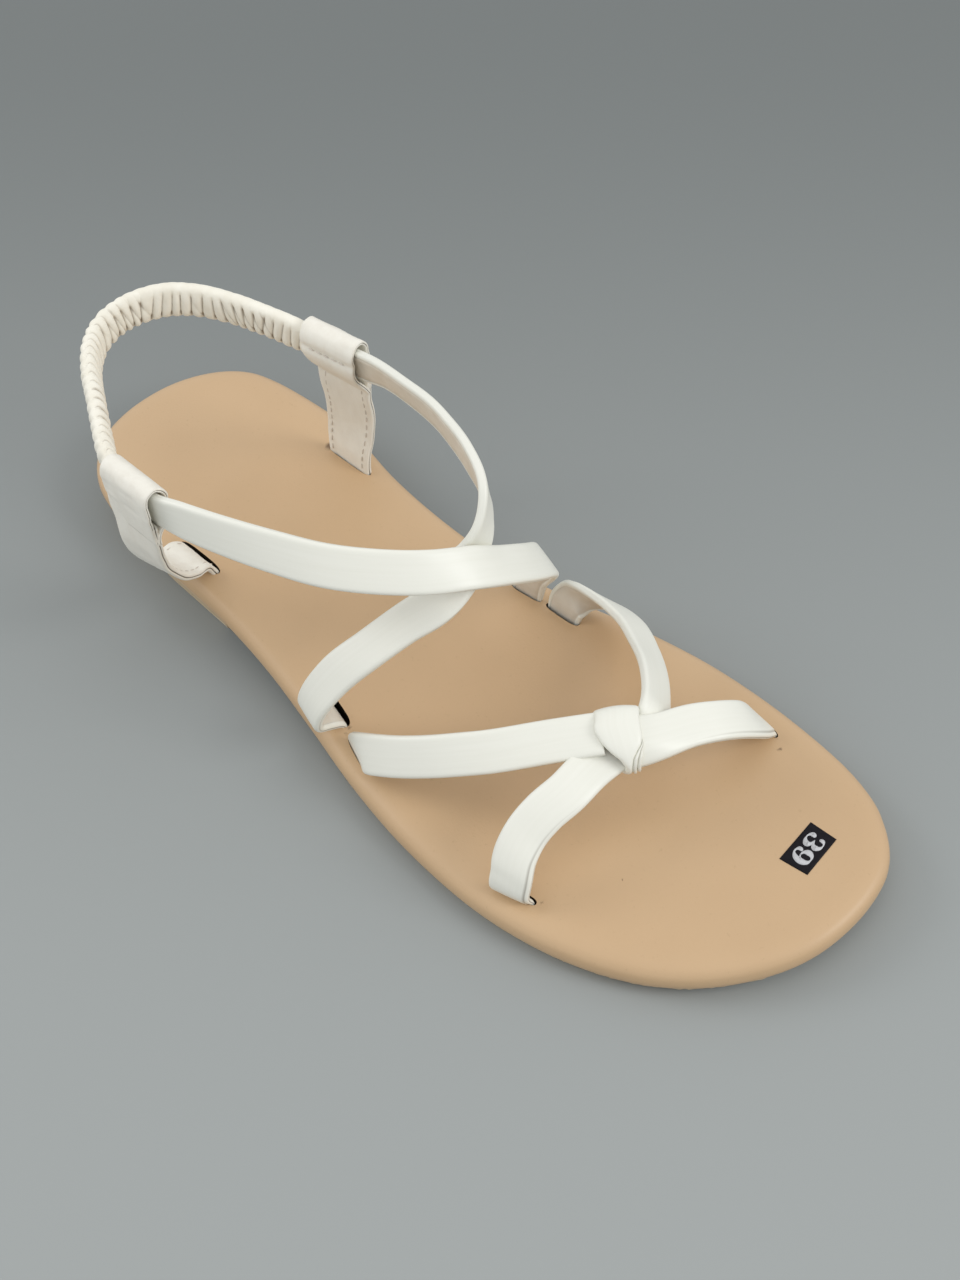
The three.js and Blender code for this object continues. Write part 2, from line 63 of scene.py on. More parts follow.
# Edges of the footbed: x, inner y, outer y
SOLE_EDGE = [
    (2, 16, -9.4), (10, 29.5, -20.2), (20, 35.6, -25.6), (45, 38.2, -30), (60, 37, -30.8),
    (80, 33.2, -31.6), (100, 32.2, -33.7), (120, 33.5, -37.4), (140, 37, -41.6), (160, 41.5, -44.6),
    (180, 44.7, -45.5), (195, 45.6, -44.3), (210, 45.2, -40.9), (225, 43.4, -34.7), (235, 40.6, -28.1),
    (243, 36.4, -20.2), (253, 24.4, -2.8),
]
# Rounded edge of the footbed from its underside up: distance in from the outline, share of the thickness
FOOTBED_EDGE = [
    (1.6, 0), (0.5, 0.1), (0, 0.34), (0.3, 0.6), (1.4, 0.82), (3.4, 0.95), (6.5, 1),
]
# Instep straps from the loop of a tab to the slot on the other side
OVER_INSTEP = [
    (74, -38, 60.8, 90, 88), (80, -37.9, 61, 94, 87), (88, -36.8, 62.4, 106, 76), (99, -34, 63.2, 111, 68),
    (112, -30.2, 64.3, 116, 58), (125.5, -24.9, 64.8, 120, 49), (136, -17.2, 63.8, 126, 42),
    (143, -8.9, 61.6, 136, 38), (147.5, 0.9, 57.9, 149, 31), (148.1, 10.2, 50.7, 163, 25),
    (147.2, 18.8, 43, 165, 25), (144.3, 26, 34.8, 164, 14), (139.4, 30.6, 25, 174, 6),
    (135, 30.8, 17, 181, 2),
]
UNDER_INSTEP = [
    (74, 27.3, 60.2, -97, 88), (80.4, 28, 60.8, -120, 84), (88.8, 27.6, 63.2, -140, 74),
    (101.2, 25.8, 65.6, -136, 76), (112, 23.9, 67.1, -140, 81), (120.1, 21.6, 67.7, -147, 84),
    (129.6, 18.1, 68.3, -56, 86), (137.7, 14.3, 66.8, -47, 71), (141.4, 10.2, 61.5, -66, 52),
    (142.2, 5.2, 55.6, -104, 44), (143.1, -2.1, 52.2, -150, 30), (142.4, -8.3, 49, 170, 20),
    (138.2, -15.5, 44.4, 158, 14), (134.1, -24.1, 39.4, 160, 12), (129.4, -31.4, 32.8, 166, 14),
    (125.6, -37.4, 24, 163, 11), (124, -38.4, 17.6, 165, 10), (123.4, -35.4, 13.6, 170, 4),
]
# Toe straps: the last is from the knot to its slot, the others from their slots to the knot
TOE_REAR_OUTER = [
    (138.2, -35.9, 12.2, 160, 8), (141.6, -36.5, 15.6, 152, 24), (146.7, -35.6, 19, 146, 34),
    (152.4, -33.6, 22, 142, 40), (159.5, -30, 25.4, 139, 42), (165.6, -25.8, 27.8, 136, 40),
    (171.1, -21.2, 29.4, 135, 37), (180.8, -10.8, 31.6, 134, 26), (188.9, -2.3, 33.4, 134, 17),
]
TOE_REAR_INNER = [
    (146.4, 32.6, 13, 186, 0), (148.8, 34.2, 15.4, 200, 16), (155.2, 35.9, 17.4, 226, 44),
    (165.4, 34.4, 19.7, 242, 44), (175, 29, 22.9, 230, 46), (183.3, 22.7, 26.4, 214, 50),
    (190.5, 15, 29.6, 200, 52), (193.3, 11, 31.4, 192, 46), (194.9, 7.4, 30.4, 184, 34),
]
TOE_FRONT_OUTER = [
    (192.4, -39, 12.6, 195, 0), (191.9, -37.4, 16.8, 190, 10), (190.5, -34.4, 20.6, 184, 18),
    (189.7, -29.4, 24, 180, 25), (190.2, -23.8, 26.8, 173, 26), (191.3, -17.5, 28.4, 166, 24),
    (191.3, -9.2, 29, 160, 20), (192.3, -1.7, 29.5, 156, 17),
]
TOE_FRONT_INNER = [
    (194.8, 0.3, 33.3, 158, 20), (198.4, 6.8, 31.9, 154, 12), (201.3, 15.3, 29.3, 151, 13),
    (204.5, 22, 26.9, 152, 8), (206.6, 28.6, 22, 154, 8), (206.8, 33.4, 16, 164, 6),
]
# Legs of the tabs, from above the slot to below the loop
TAB_LEGS = {
    "inner": [
        (67.6, 28.4, 22, 3, 0), (68.6, 29.6, 30, 10, -2), (69.6, 29.8, 38, 14, -3), (70.4, 29.2, 46, 13, -2),
    ],
    "outer": [
        (62.6, -26.4, 19.4, 2, 4), (63.8, -31, 21.6, 4, 7), (65.4, -35.4, 26.2, 6, 8), (67, -38.8, 33.6, 6, 7),
        (68.8, -40.4, 42, 4, 5), (70.2, -40.6, 49, 2, 3),
    ],
}
# Loops of the tabs: middle x, y, z, plan direction, side of the leg
LOOPS = {"inner": (71.6, 27, 60.5, 7, 1), "outer": (71, -38, 61, 0, -1)}
# Turn of a loop's band, as places away from the sandal and up from the loop's middle: its foot, then the rest
LOOP_FEET = {
    "inner": [(2.4, -12.4), (1.5, -10.4), (-0.1, -7.6)],
    "outer": [(2.3, -11.4), (1.9, -9.2), (0.4, -7)],
}
LOOP_DROP = [
    (-1.9, -4.7), (-3, -1.6), (-3.1, 2), (-2.5, 4.8), (-0.8, 6.5), (1.2, 6.6), (2.7, 5.2), (3.2, 2.4),
    (3.3, -2), (3.2, -6.4), (3, -10.6),
]
# Middle line of the heel elastic: x, y, z
ELASTIC_PATH = [
    (70, 26.7, 60.2), (62, 25.7, 60.8), (51.2, 22.4, 62.5), (42.6, 18.6, 64.5), (34.4, 14, 66),
    (28.4, 8.6, 66.8), (24.6, 2.6, 66.8), (22.9, -4, 66.5), (23.6, -10.8, 66), (27.6, -17.2, 65.5),
    (34.2, -22.6, 65), (42.4, -27.4, 64.4), (50.8, -32.4, 63.4), (57, -35.9, 62.2), (62.6, -37.6, 61.3),
    (69.4, -38, 61),
]
# Slots in the footbed: middle x, y, plan direction in degrees, length, how far outboard its strap sits in it, and
# how open the layers of the strap's edge are there
# The last column also sets the painted shade in the gap of a strap's layer joint, where the layers open
SLOTS = {
    "tab_inner": (67.3, 27.9, 1, 15.6, 0.2, 1),
    "tab_outer": (62.3, -23.6, 0, 15.6, 0.5, 1),
    "instep_inner": (133.6, 29.8, 8, 8.8, 0.2, 0.2),
    "instep_outer": (123.9, -30.6, -14, 9.8, 0.7, 0.9),
    "toe_rear_inner": (145.5, 31, 2, 10.6, 0.4, 0.2),
    "toe_rear_outer": (136.8, -35.4, -19, 10.6, -0.1, 0.6),
    "toe_front_inner": (205.6, 38, -6, 10.6, 0.2, 1),
    "toe_front_outer": (192.4, -37.3, 15, 10.6, 0.3, 1),
}
# Dark spots on the footbed: x, y, z, radius. Most are painted shade where the leather puckers into a slot's end,
# the rest are marks
SLOT_SHADE_AND_MARKS = [
    (214, 34.7, 9.2, 0.62), (208.8, -18.1, 9.2, 0.4), (58.6, 27.7, 16.9, 1.2), (59.2, 27.8, 16.9, 1.9),
    (129.6, -31.8, 10.1, 0.9), (130.6, -33.6, 10.1, 0.8), (198.7, -34.9, 9.2, 0.7), (211.6, 37, 9.2, 0.6),
]
# Knot: its middle, and unit vectors along its axis, aside and out of its face
KNOT_MIDDLE = np.array([191.4, 0.6, 31.6])
KNOT_AXIS = np.array([0.643, 0.766, 0])
KNOT_SIDE = np.array([-0.71, 0.596, 0.375])
KNOT_OUT = np.array([0.287, -0.241, 0.927])
# Rims of the knot's turn of strap along the axis, by the angle round it from the heel side over the top
KNOT_RIMS = [
    (0, -5.4, 5.6), (30, -5.3, 5.5), (49, -5.3, 5.2), (66, -5.8, 5), (81, -5.7, 5), (92, -4.9, 5.1),
    (106, -3.7, 4.7), (120, -2.4, 3.6), (137, -0.8, 2.6), (162, 0.3, 2.2), (185, 0, 2.4), (230, -2.5, 4),
    (300, -5, 5.4), (360, -5.4, 5.6),
]
# Corners of the size patch from its inner heel corner round
PATCH_CORNERS = ((232.1, 22.8), (232.6, 10.1), (240.1, 10.7), (239.5, 22.7))
FIGURE_WIDTH = 5.5          # millimetres, for a stroke's half width of 1
# Strokes of the patch's figures, each in a box (left, low, right, high) in shares of the patch: right, up and half
# width in shares of the box; right runs to the outer side of the shoe, up to the toe
FIGURES = [
    ((0.14, 0.18, 0.47, 0.82), [
        (0.3, 0.36, 0.02), (0.22, 0.32, 0.1), (0.16, 0.22, 0.11), (0.3, 0.07, 0.05), (0.5, 0.03, 0.03),
        (0.76, 0.12, 0.1), (0.86, 0.27, 0.15), (0.72, 0.43, 0.07), (0.5, 0.47, 0.03), (0.4, 0.48, 0.01)]),
    ((0.14, 0.18, 0.47, 0.82), [
        (0.4, 0.48, 0.01), (0.52, 0.49, 0.03), (0.72, 0.55, 0.07), (0.84, 0.72, 0.14), (0.74, 0.9, 0.09),
        (0.5, 0.98, 0.03), (0.32, 0.94, 0.04), (0.22, 0.84, 0.09), (0.24, 0.74, 0.09), (0.32, 0.7, 0.02)]),
    ((0.53, 0.18, 0.86, 0.81), [
        (0.52, 0.38, 0.02), (0.28, 0.44, 0.07), (0.14, 0.66, 0.14), (0.26, 0.9, 0.08), (0.5, 0.97, 0.03),
        (0.76, 0.88, 0.1), (0.87, 0.62, 0.15), (0.8, 0.28, 0.12), (0.54, 0.04, 0.04), (0.32, 0.06, 0.05),
        (0.2, 0.16, 0.1), (0.22, 0.26, 0.09), (0.3, 0.31, 0.02)]),
    ((0.53, 0.18, 0.86, 0.81), [(0.5, 0.38, 0.02), (0.68, 0.46, 0.04), (0.75, 0.62, 0.05)]),
]
# Lamps: name, place and target in metres, size, power
LAMPS = [
    ("overhead", (0.15, 0, 1.3), (0, 0, 0), 1.2, 1),
    ("heel_side", (-0.9, -0.5, 0.7), (0, 0, 0.02), 0.6, 3.3),
    ("toe_side", (1, 0.5, 0.8), (0, 0, 0.02), 0.6, 5.4),
]
# Colours as linear red, green and blue
COLOURS = {
    "tan": (0.555, 0.376, 0.213), "light tan": (0.588, 0.404, 0.233), "tan speck": (0.49, 0.33, 0.183),
    # Dark spots of the footbed: painted shade at the slot ends, and marks elsewhere
    "slot shade and mark": (0.19, 0.115, 0.06), "white": (0.835, 0.828, 0.747), "white streak": (0.812, 0.805, 0.72),
    "white speck": (0.3, 0.26, 0.2), "lining": (0.71, 0.665, 0.575), "dark lining": (0.64, 0.585, 0.49),
    # strap joint: dark joint of the layers, with painted shade in the gap where they open
    "strap joint and gap shade": (0.2, 0.17, 0.13), "tab": (0.86, 0.83, 0.745), "dark tab": (0.815, 0.775, 0.685),
    # Walls of the slots: nearly black, painted shade deep in the narrow slots
    "tab joint": (0.17, 0.145, 0.11), "slot wall shade": (0.012, 0.009, 0.006), "light slot wall shade": (0.03, 0.022, 0.015),
    "thread": (0.7, 0.65, 0.57), "dark thread": (0.58, 0.52, 0.45), "cloth": (0.91, 0.875, 0.77),
    # crease: painted shade down in the creases of the heel elastic
    "dark cloth": (0.85, 0.805, 0.69), "crease": (0.33, 0.27, 0.2), "rubber": (0.6, 0.47, 0.31),
    "rubber pit": (0.2, 0.13, 0.08), "crepe": (0.66, 0.54, 0.38), "crepe band": (0.55, 0.43, 0.28),
    "crepe pit": (0.16, 0.1, 0.06), "ink": (0.006, 0.005, 0.007), "worn ink": (0.014, 0.012, 0.015),
    # far floor and near floor: painted falloff of light, darker far off and lighter near the camera
    "figure": (0.62, 0.62, 0.63), "dark figure": (0.48, 0.48, 0.5), "shaded far floor": (0.172, 0.186, 0.183),
    "lit near floor": (0.345, 0.364, 0.358),
}


# Curves and grids

def to_metres(points):
    """Table millimetres to the row frame in metres: x counts from the middle of the sole."""
    return (np.asarray(points, float) - (SOLE_LENGTH / 2, 0, 0)) * 0.001


def curve(points, t):
    """Centripetal Catmull-Rom curve through the points, at values t from 0 to 1 spread evenly over their gaps."""
    points = np.asarray(points, float)
    line = np.vstack([2 * points[0] - points[1], points, 2 * points[-1] - points[-2]])
    place = np.clip(t, 0, 1) * (len(points) - 1)
    i = np.minimum(place.astype(int), len(points) - 2)
    w = (place - i)[:, None]
    a, b, c, d = (line[i + k] for k in range(4))
    gap = [np.maximum(np.linalg.norm(q - p, axis=1), 1e-6)[:, None] ** 0.5 for p, q in ((a, b), (b, c), (c, d))]
    m1 = ((b - a) / gap[0] - (c - a) / (gap[0] + gap[1]) + (c - b) / gap[1]) * gap[1]
    m2 = ((c - b) / gap[1] - (d - b) / (gap[1] + gap[2]) + (d - c) / gap[2]) * gap[1]
    return b + m1 * w + (3 * (c - b) - 2 * m1 - m2) * w ** 2 + (2 * (b - c) + m1 + m2) * w ** 3


def unit(v):
    """Vectors divided by their lengths."""
    return v / np.maximum(np.linalg.norm(v, axis=-1, keepdims=True), 1e-9)


def bell(distance, width):
    """Bell curve: e to the minus square of distance over width."""
    return np.exp(-(distance / width) ** 2)


def signed_power(value, power):
    """The size of a value to a power, with the value's sign: on cosine and sine it squares up an oval."""
    return np.sign(value) * np.abs(value) ** power


def heading(turn):
    """Plan direction of a turn in degrees: its cosine and sine."""
    return np.cos(np.radians(turn)), np.sin(np.radians(turn))


def circle(count):
    """Even angles round a circle."""
    return np.linspace(0, 2 * np.pi, count, endpoint=False)


def lengths(points):
    """Length along a line of points, from 0 at the first."""
    return np.concatenate([[0], np.cumsum(np.linalg.norm(np.diff(points, axis=0), axis=1))])


def sampled(at, length, values):
    """Vectors along a line, read at other lengths by straight interpolation."""
    return np.stack([np.interp(at, length, values[:, k]) for k in range(3)], 1)


def stations(rows, step):
    """Even stations along strap rows: points on the curve, unit vectors along it, across (the rows' lines, made
    square to the curve) and out of the face, and the length so far."""
    rows = np.asarray(rows, float)
    turn, lift = np.radians(rows[:, 3]), np.radians(rows[:, 4])
    lines = np.stack([np.cos(turn) * np.cos(lift), np.sin(turn) * np.cos(lift), np.sin(lift)], -1)
    t = np.linspace(0, 1, 1200)
    length = lengths(curve(rows[:, :3], t))
    along = np.linspace(0, length[-1], int(length[-1] / step) + 2)
    even = np.interp(along, length, t)
    point = curve(rows[:, :3], even)
    tangent = unit(np.gradient(point, axis=0))
    side = curve(lines, even)
    side = unit(side - (side * tangent).sum(1, keepdims=True) * tangent)
    return point, tangent, side, np.cross(tangent, side), along


def quads(rows, columns):
    """Quads of a grid of points, row after row; each row closes on itself."""
    r, c = np.arange(rows - 1)[:, None], np.arange(columns)[None, :]
    a, b = r * columns + c, r * columns + (c + 1) % columns
    return np.stack([a, b, b + columns, a + columns], -1).reshape(-1, 4)


def capped(rows, columns, first=0):
    """Faces of a tube of section points, counted from first, with a flat cap at each end."""
    last = first + (rows - 1) * columns
    faces = (quads(rows, columns) + first).tolist()
    return faces + [list(range(first, first + columns))[::-1], list(range(last, last + columns))]


def joined(grids):
    """Several capped tubes as one set of points and faces."""
    faces, first = [], 0
    for grid in grids:
        faces += capped(*grid.shape[:2], first)
        first += grid.shape[0] * grid.shape[1]
    return np.concatenate([grid.reshape(-1, 3) for grid in grids]), faces


def carry(across, out, point, side, face):
    """Grid of a section carried along stations: point + across * side + out * face."""
    return point[:, None] + across[..., None] * side[:, None] + out[..., None] * face[:, None]


def flat_uv(along, across):
    """UV of a grid in metres: the length along it and the place across it."""
    return np.stack(np.broadcast_arrays(along, across), -1).reshape(-1, 2) * 0.001


def bumps(phase, seed):
    """Soft noise: a sum of five sines, each faster and lower, with seeded heights and starts, about -1 to 1."""
    values = np.random.default_rng(seed)
    total = 0
    for k in range(1, 6):
        height = values.normal()
        wave = np.sin(phase * k * (0.8 + 0.4 * values.random()) + 6.28 * values.random())
        total = total + height * wave / k
    return total / 2


def placed(name, data):
    """New object with some data, in the scene."""
    thing = bpy.data.objects.new(name, data)
    bpy.context.scene.collection.objects.link(thing)
    return thing


def make(name, points, faces, finish, slot, replaces=(), layers=None, uv=None, merge=False):
    """Piece from points in table millimetres, with layers of values and a uv per point; merge joins points in the
    same place. It rides on the body."""
    mesh = bpy.data.meshes.new(name)
    mesh.from_pydata(to_metres(points).tolist(), [], [list(face) for face in faces])
    for key, values in (layers or {}).items():
        layer = mesh.attributes.new(key, "FLOAT", "POINT")
        layer.data.foreach_set("value", np.asarray(values, np.float32).ravel())
    if uv is not None:
        corner = np.empty(len(mesh.loops), np.int32)
        mesh.loops.foreach_get("vertex_index", corner)
        mesh.uv_layers.new(name="UVMap").data.foreach_set("uv", np.asarray(uv, np.float32)[corner].ravel())
    if merge:
        shell = bmesh.new()
        shell.from_mesh(mesh)
        bmesh.ops.remove_doubles(shell, verts=shell.verts, dist=1e-6)
        shell.to_mesh(mesh)
        shell.free()
    mesh.shade_smooth()
    mesh.materials.append(finish)
    piece = placed(name, mesh)
    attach(piece, "root")
    if replaces:
        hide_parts(*replaces)
    return piece


# Sole

OUTLINE_STATIONS = 420
SPINE_ENDS = (24, 226)      # x of the ends of the middle line that rings are drawn in to
NEARLY = 0.9999             # share of the way in of a first or last ring; its points are merged there
EDGE_RINGS, TOP_RINGS = 22, 43
RELIEF_FROM = 13            # first ring that follows the relief of the top
SINK_DEPTH, SINK_REACH = 0.55, 2.6
SHARP_ANGLE = 0.7
# Wall of the outsole from its underside up: distance in from the outline, share of its thickness
OUTSOLE_WALL = [(2.2, 0.0), (1.75, 0.0), (1.5, 0.12), (1.5, 0.4), (1.5, 0.7), (1.5, 1.0), (3.2, 1.0)]
OUTSOLE_INSET = 2.4


def sole_outline():
    """Closed outline from the heel tip along the outer side to the toe and back, and for each of its points the
    one on the middle line that it is drawn in to. Stations are x = L (1 - cos a) / 2, with a even from tip to tip,
    and each edge is cubic pieces through its table, as functions of a."""
    angle = np.linspace(0, np.pi, OUTLINE_STATIONS + 1)
    x = SOLE_LENGTH * (1 - np.cos(angle)) / 2
    rows = np.array([(0, HEEL_TIP_Y, HEEL_TIP_Y), *SOLE_EDGE, (SOLE_LENGTH, TOE_TIP_Y, TOE_TIP_Y)])
    knots = np.arccos(1 - 2 * rows[:, 0] / SOLE_LENGTH)
    i = np.clip(np.searchsorted(knots, angle) - 1, 0, len(knots) - 2)
    low, high = np.maximum(np.arange(len(knots)) - 1, 0), np.minimum(np.arange(len(knots)) + 1, len(knots) - 1)
    span = knots[i + 1] - knots[i]
    t = (angle - knots[i]) / span
    edges = []
    for y in (rows[:, 2], rows[:, 1]):
        slope = (y[high] - y[low]) / (knots[high] - knots[low])
        between = y[i] * (1 + 2 * t) * (1 - t) ** 2 + y[i + 1] * t * t * (3 - 2 * t)
        edges.append(between + span * (slope[i] * t * (1 - t) ** 2 - slope[i + 1] * t * t * (1 - t)))
    outer, inner = edges
    loop = np.concatenate([np.stack([x, outer], 1), np.stack([x, inner], 1)[1:-1][::-1]])
    spine_x = np.clip(loop[:, 0], *SPINE_ENDS)
    return loop, np.stack([spine_x, np.interp(spine_x, x, (outer + inner) / 2)], 1)


def inset(loop, distance):
    """The outline moved inwards along its normals, by one distance or one per point."""
    along = unit(np.roll(loop, -1, 0) - np.roll(loop, 1, 0))
    normal = np.stack([-along[:, 1], along[:, 0]], 1)
    return loop + normal * np.reshape(distance, (-1, 1))


def underside(x):
    """Height of the outsole's underside: an S from the heel down to the forefoot, and a parabola at the toe."""
    up = np.clip((ARCH[1] - x) / (ARCH[1] - ARCH[0]), 0, 1)
    spring = np.clip((x - SPRING_START) / (SOLE_LENGTH - SPRING_START), 0, 1)
    return HEEL_RISE * up * up * (3 - 2 * up) + TOE_SPRING * spring ** 2


def bed_bottom(x):
    """Height of the footbed's underside, on the outsole."""
    return underside(x) + OUTSOLE_THICKNESS


def bed_top(x):
    """Height of the footbed's top, before its relief."""
    return bed_bottom(x) + FOOTBED_THICKNESS


def bed_relief(x, y):
    """Slight waviness of the footbed's top: a sine along it times a sine across it."""
    return 0.12 * np.sin(x / 17 + 1.3) * np.sin(y / 11 + 0.4)


def ring(flat, height, raised=0.0):
    """Plan points at the height that a function of x gives, raised by some millimetres."""
    return np.column_stack([flat, height(flat[:, 0]) + raised])


def from_slot(x, y, slot):
    """Distance of points from the middle line of a slot: beyond its ends, and beside it."""
    sx, sy, turn, length = slot[:4]
    ux, uy = heading(turn)
    beyond = np.maximum(np.abs((x - sx) * ux + (y - sy) * uy) - length / 2, 0)
    return np.hypot(beyond, (x - sx) * -uy + (y - sy) * ux)


def footbed():
    """Rings that follow the outline: the rounded edge from its underside up, then the top drawn in to the middle
    line and sunk in a bell round each slot. The slots are cut through."""
    loop, spine = sole_outline()
    flat = inset(loop, FOOTBED_EDGE[0][0])
    rings = [ring(flat + (spine - flat) * share, bed_bottom) for share in (NEARLY, 0.5)]
    for distance, up in curve(FOOTBED_EDGE, np.linspace(0, 1, EDGE_RINGS)):
        rings.append(ring(inset(loop, distance), bed_bottom, up * FOOTBED_THICKNESS))
    flat = inset(loop, FOOTBED_EDGE[-1][0])
    rings += [ring(flat + (spine - flat) * share, bed_top) for share in np.linspace(0, 1, TOP_RINGS + 1)[1:]]
    points = np.array(rings)
    x, y = points[..., 0], points[..., 1]
    sink = sum(SINK_DEPTH * bell(from_slot(x, y, slot), SINK_REACH) for slot in SLOTS.values())
    points[RELIEF_FROM:, :, 2] += (bed_relief(x, y) - sink)[RELIEF_FROM:]
    bed = make("footbed_leather", points.reshape(-1, 3), quads(*points.shape[:2]), tan_leather(), "tan_leather",
               ["footbed"], merge=True)
    cut_slots(bed)


def slot_cutter(slot):
    """Closed prism, a little larger than the strap that goes through it: an oval squared up by signed powers."""
    sx, sy, turn, length, set_out, _ = slot
    angle = circle(28)
    a = signed_power(np.cos(angle), 0.55) * (length / 2 + 0.35)
    b = signed_power(np.sin(angle), 0.8) * (STRAP_THICKNESS / 2 - 0.2 + abs(set_out))
    ux, uy = heading(turn)
    flat = np.stack([sx + a * ux - b * uy, sy + a * uy + b * ux], 1)
    return np.array([np.column_stack([flat, np.full(len(flat), bed_top(sx) + up)]) for up in (-5.2, 4)])


def cut_slots(bed):
    """Cuts the slots out of the footbed. Their walls are painted nearly black as the shade deep in the narrow
    slots, and edges above an angle stay sharp.
    """
    points, faces = joined([slot_cutter(slot) for slot in SLOTS.values()])
    mesh = bpy.data.meshes.new("slot_cutters")
    mesh.from_pydata(to_metres(points).tolist(), [], faces)
    # The walls that the cutters leave take their nearly black painted shade
    mesh.materials.append(plain("slot_wall_shade"))
    cutter = placed("slot_cutters", mesh)
    cut = bed.modifiers.new("slots", "BOOLEAN")
    cut.operation = "DIFFERENCE"
    cut.solver = "EXACT"
    cut.object = cutter
    cut.material_mode = "TRANSFER"
    bpy.context.view_layer.update()
    done = bpy.data.meshes.new_from_object(bed.evaluated_get(bpy.context.evaluated_depsgraph_get()))
    bed.modifiers.clear()
    bed.data = done
    bpy.data.objects.remove(cutter)
    done.set_sharp_from_angle(angle=SHARP_ANGLE)


def outsole():
    """Thin sheet under the footbed: rings drawn in below, a wall, and a flat top. The wall's lower edge is
    crumbled by seeded noise that fades as it rises."""
    loop, spine = sole_outline()
    turn = np.arange(len(loop)) * 2 * np.pi / len(loop)
    ragged = 0.22 * bumps(turn * 60, 4) + 0.18 * bumps(turn * 190, 5)
    ragged += 0.35 * np.clip(bumps(turn * 31, 6) - 0.35, 0, 1)
    thick = OUTSOLE_THICKNESS - PIECE_GAP
    flat = inset(loop, OUTSOLE_INSET)
    rings = [ring(flat + (spine - flat) * share, underside) for share in (NEARLY, 0.66, 0.33)]
    for distance, up in OUTSOLE_WALL:
        rings.append(ring(inset(loop, distance - ragged * max(0, 1 - up * 1.6)), underside, up * thick))
    flat = inset(loop, OUTSOLE_WALL[-1][0])
    rings.append(ring(flat + (spine - flat) * NEARLY, underside, thick))
    make("outsole_sheet", np.concatenate(rings), quads(len(rings), len(loop)), sole_rubber(), "outsole_rubber",
         ["outsole"], merge=True)


def heel_lift():
    """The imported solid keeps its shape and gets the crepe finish."""
    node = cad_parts["heel_lift"]
    node.data.materials.clear()
    node.data.materials.append(heel_crepe())


# Straps

STATION_GAP = 0.6           # along a strap
CROWN = 0.16                # height of a strap's face in the middle, over its edges
PRESSED, PRESS_REACH = 0.45, 8      # share of its thickness that a strap loses at its slot, and how far from it
LAYER_JOINTS = [4, 24]      # points of a folded section at the joints of its layers
UPPER_EDGES = [5, 6, 7, 8], [23, 22, 21, 20]    # its points from each joint up to the face
# How deep the step of the upper layer sinks, and how dark the line at the step is painted as shade
STEP_DEPTH, STEP_SHADE = 0.28, 0.75


def folded_section(half, thickness):
    """Outline of a folded strap, a row per half width: crowned face, half-round edges notched at the joint of the
    layers, and a lining let in from each edge. Gives across, out, and each point's share of lining and joint."""
    half, rise = np.reshape(half, (-1, 1)), thickness / 2
    bend = np.radians(np.linspace(-90, 90, 9))[None]
    flat = np.linspace(1, -1, 13)[None, 1:-1]
    lined = np.linspace(-1, 1, 9)[None, 1:-1]
    notch = np.array([0, 0, 0, 0.04, 0.22, 0.04, 0, 0, 0])
    right = half - rise + rise * np.cos(bend) - notch
    lip = half - rise - 0.1
    across = [right, (half - rise) * flat, -right[:, ::-1], -lip, -lip + 0.15, -lip + 0.4, (lip - 0.6) * lined,
              lip - 0.4, lip - 0.15, lip]
    across = np.concatenate(across, 1)
    arc = rise * np.sin(bend[0])
    groove = [-rise, -rise + 0.25, -rise - 0.02]
    out = np.concatenate([arc, np.full(flat.size, rise), arc[::-1], groove, np.full(lined.size, -rise - 0.05),
                          groove[::-1]])
    out = out[None] + CROWN * (1 - (across / half) ** 2) * (out > 0)[None]
    leather = 2 * bend.size + flat.size
    inside = np.concatenate([np.zeros(leather), [0, 0.5, 1], np.ones(lined.size), [1, 0.5, 0]])
    joint = np.zeros(across.shape[1])
    joint[LAYER_JOINTS] = 1
    return across, out, np.tile(inside, (len(across), 1)), joint


def doubled_section(half, thickness):
    """Outline of two layers sewn together: flat faces, round edges, and the joint of the layers as a notch. Gives
    across, out, and each point's share of joint."""
    half, rise = np.reshape(half, (-1, 1)), thickness / 2
    bend = np.radians([-90, -60, -32, -12, -5, 5, 12, 32, 60, 90])
    notch = np.array([0, 0, 0, 0.05, 0.3, 0.3, 0.05, 0, 0, 0])
    right = half - 0.7 * rise + (0.7 * rise * np.cos(bend) - notch)[None]
    flat = (half - 0.7 * rise) * np.linspace(1, -1, 19)[None, 1:-1]
    across = np.concatenate([right, flat, -right[:, ::-1], -flat], 1)
    arc = rise * np.sin(bend)
    face = np.full(flat.shape[1], rise)
    out = np.concatenate([arc, face, arc[::-1], -face])
    joint = np.tile(np.concatenate([notch == notch.max(), np.zeros(len(face))]), 2)
    return across, np.tile(out, (len(across), 1)), joint


def slot_rows(name, back=False):
    """Rows straight up out of a slot, lowest first; with back, the face looks the other way."""
    x, y, turn, _, set_out, _ = SLOTS[name]
    x -= np.sign(y) * set_out * np.sin(np.radians(turn))
    y += np.sign(y) * set_out * np.cos(np.radians(turn))
    return [(x, y, bed_top(x) - down, turn + 180 * back, 0) for down in (5.6, 1)]


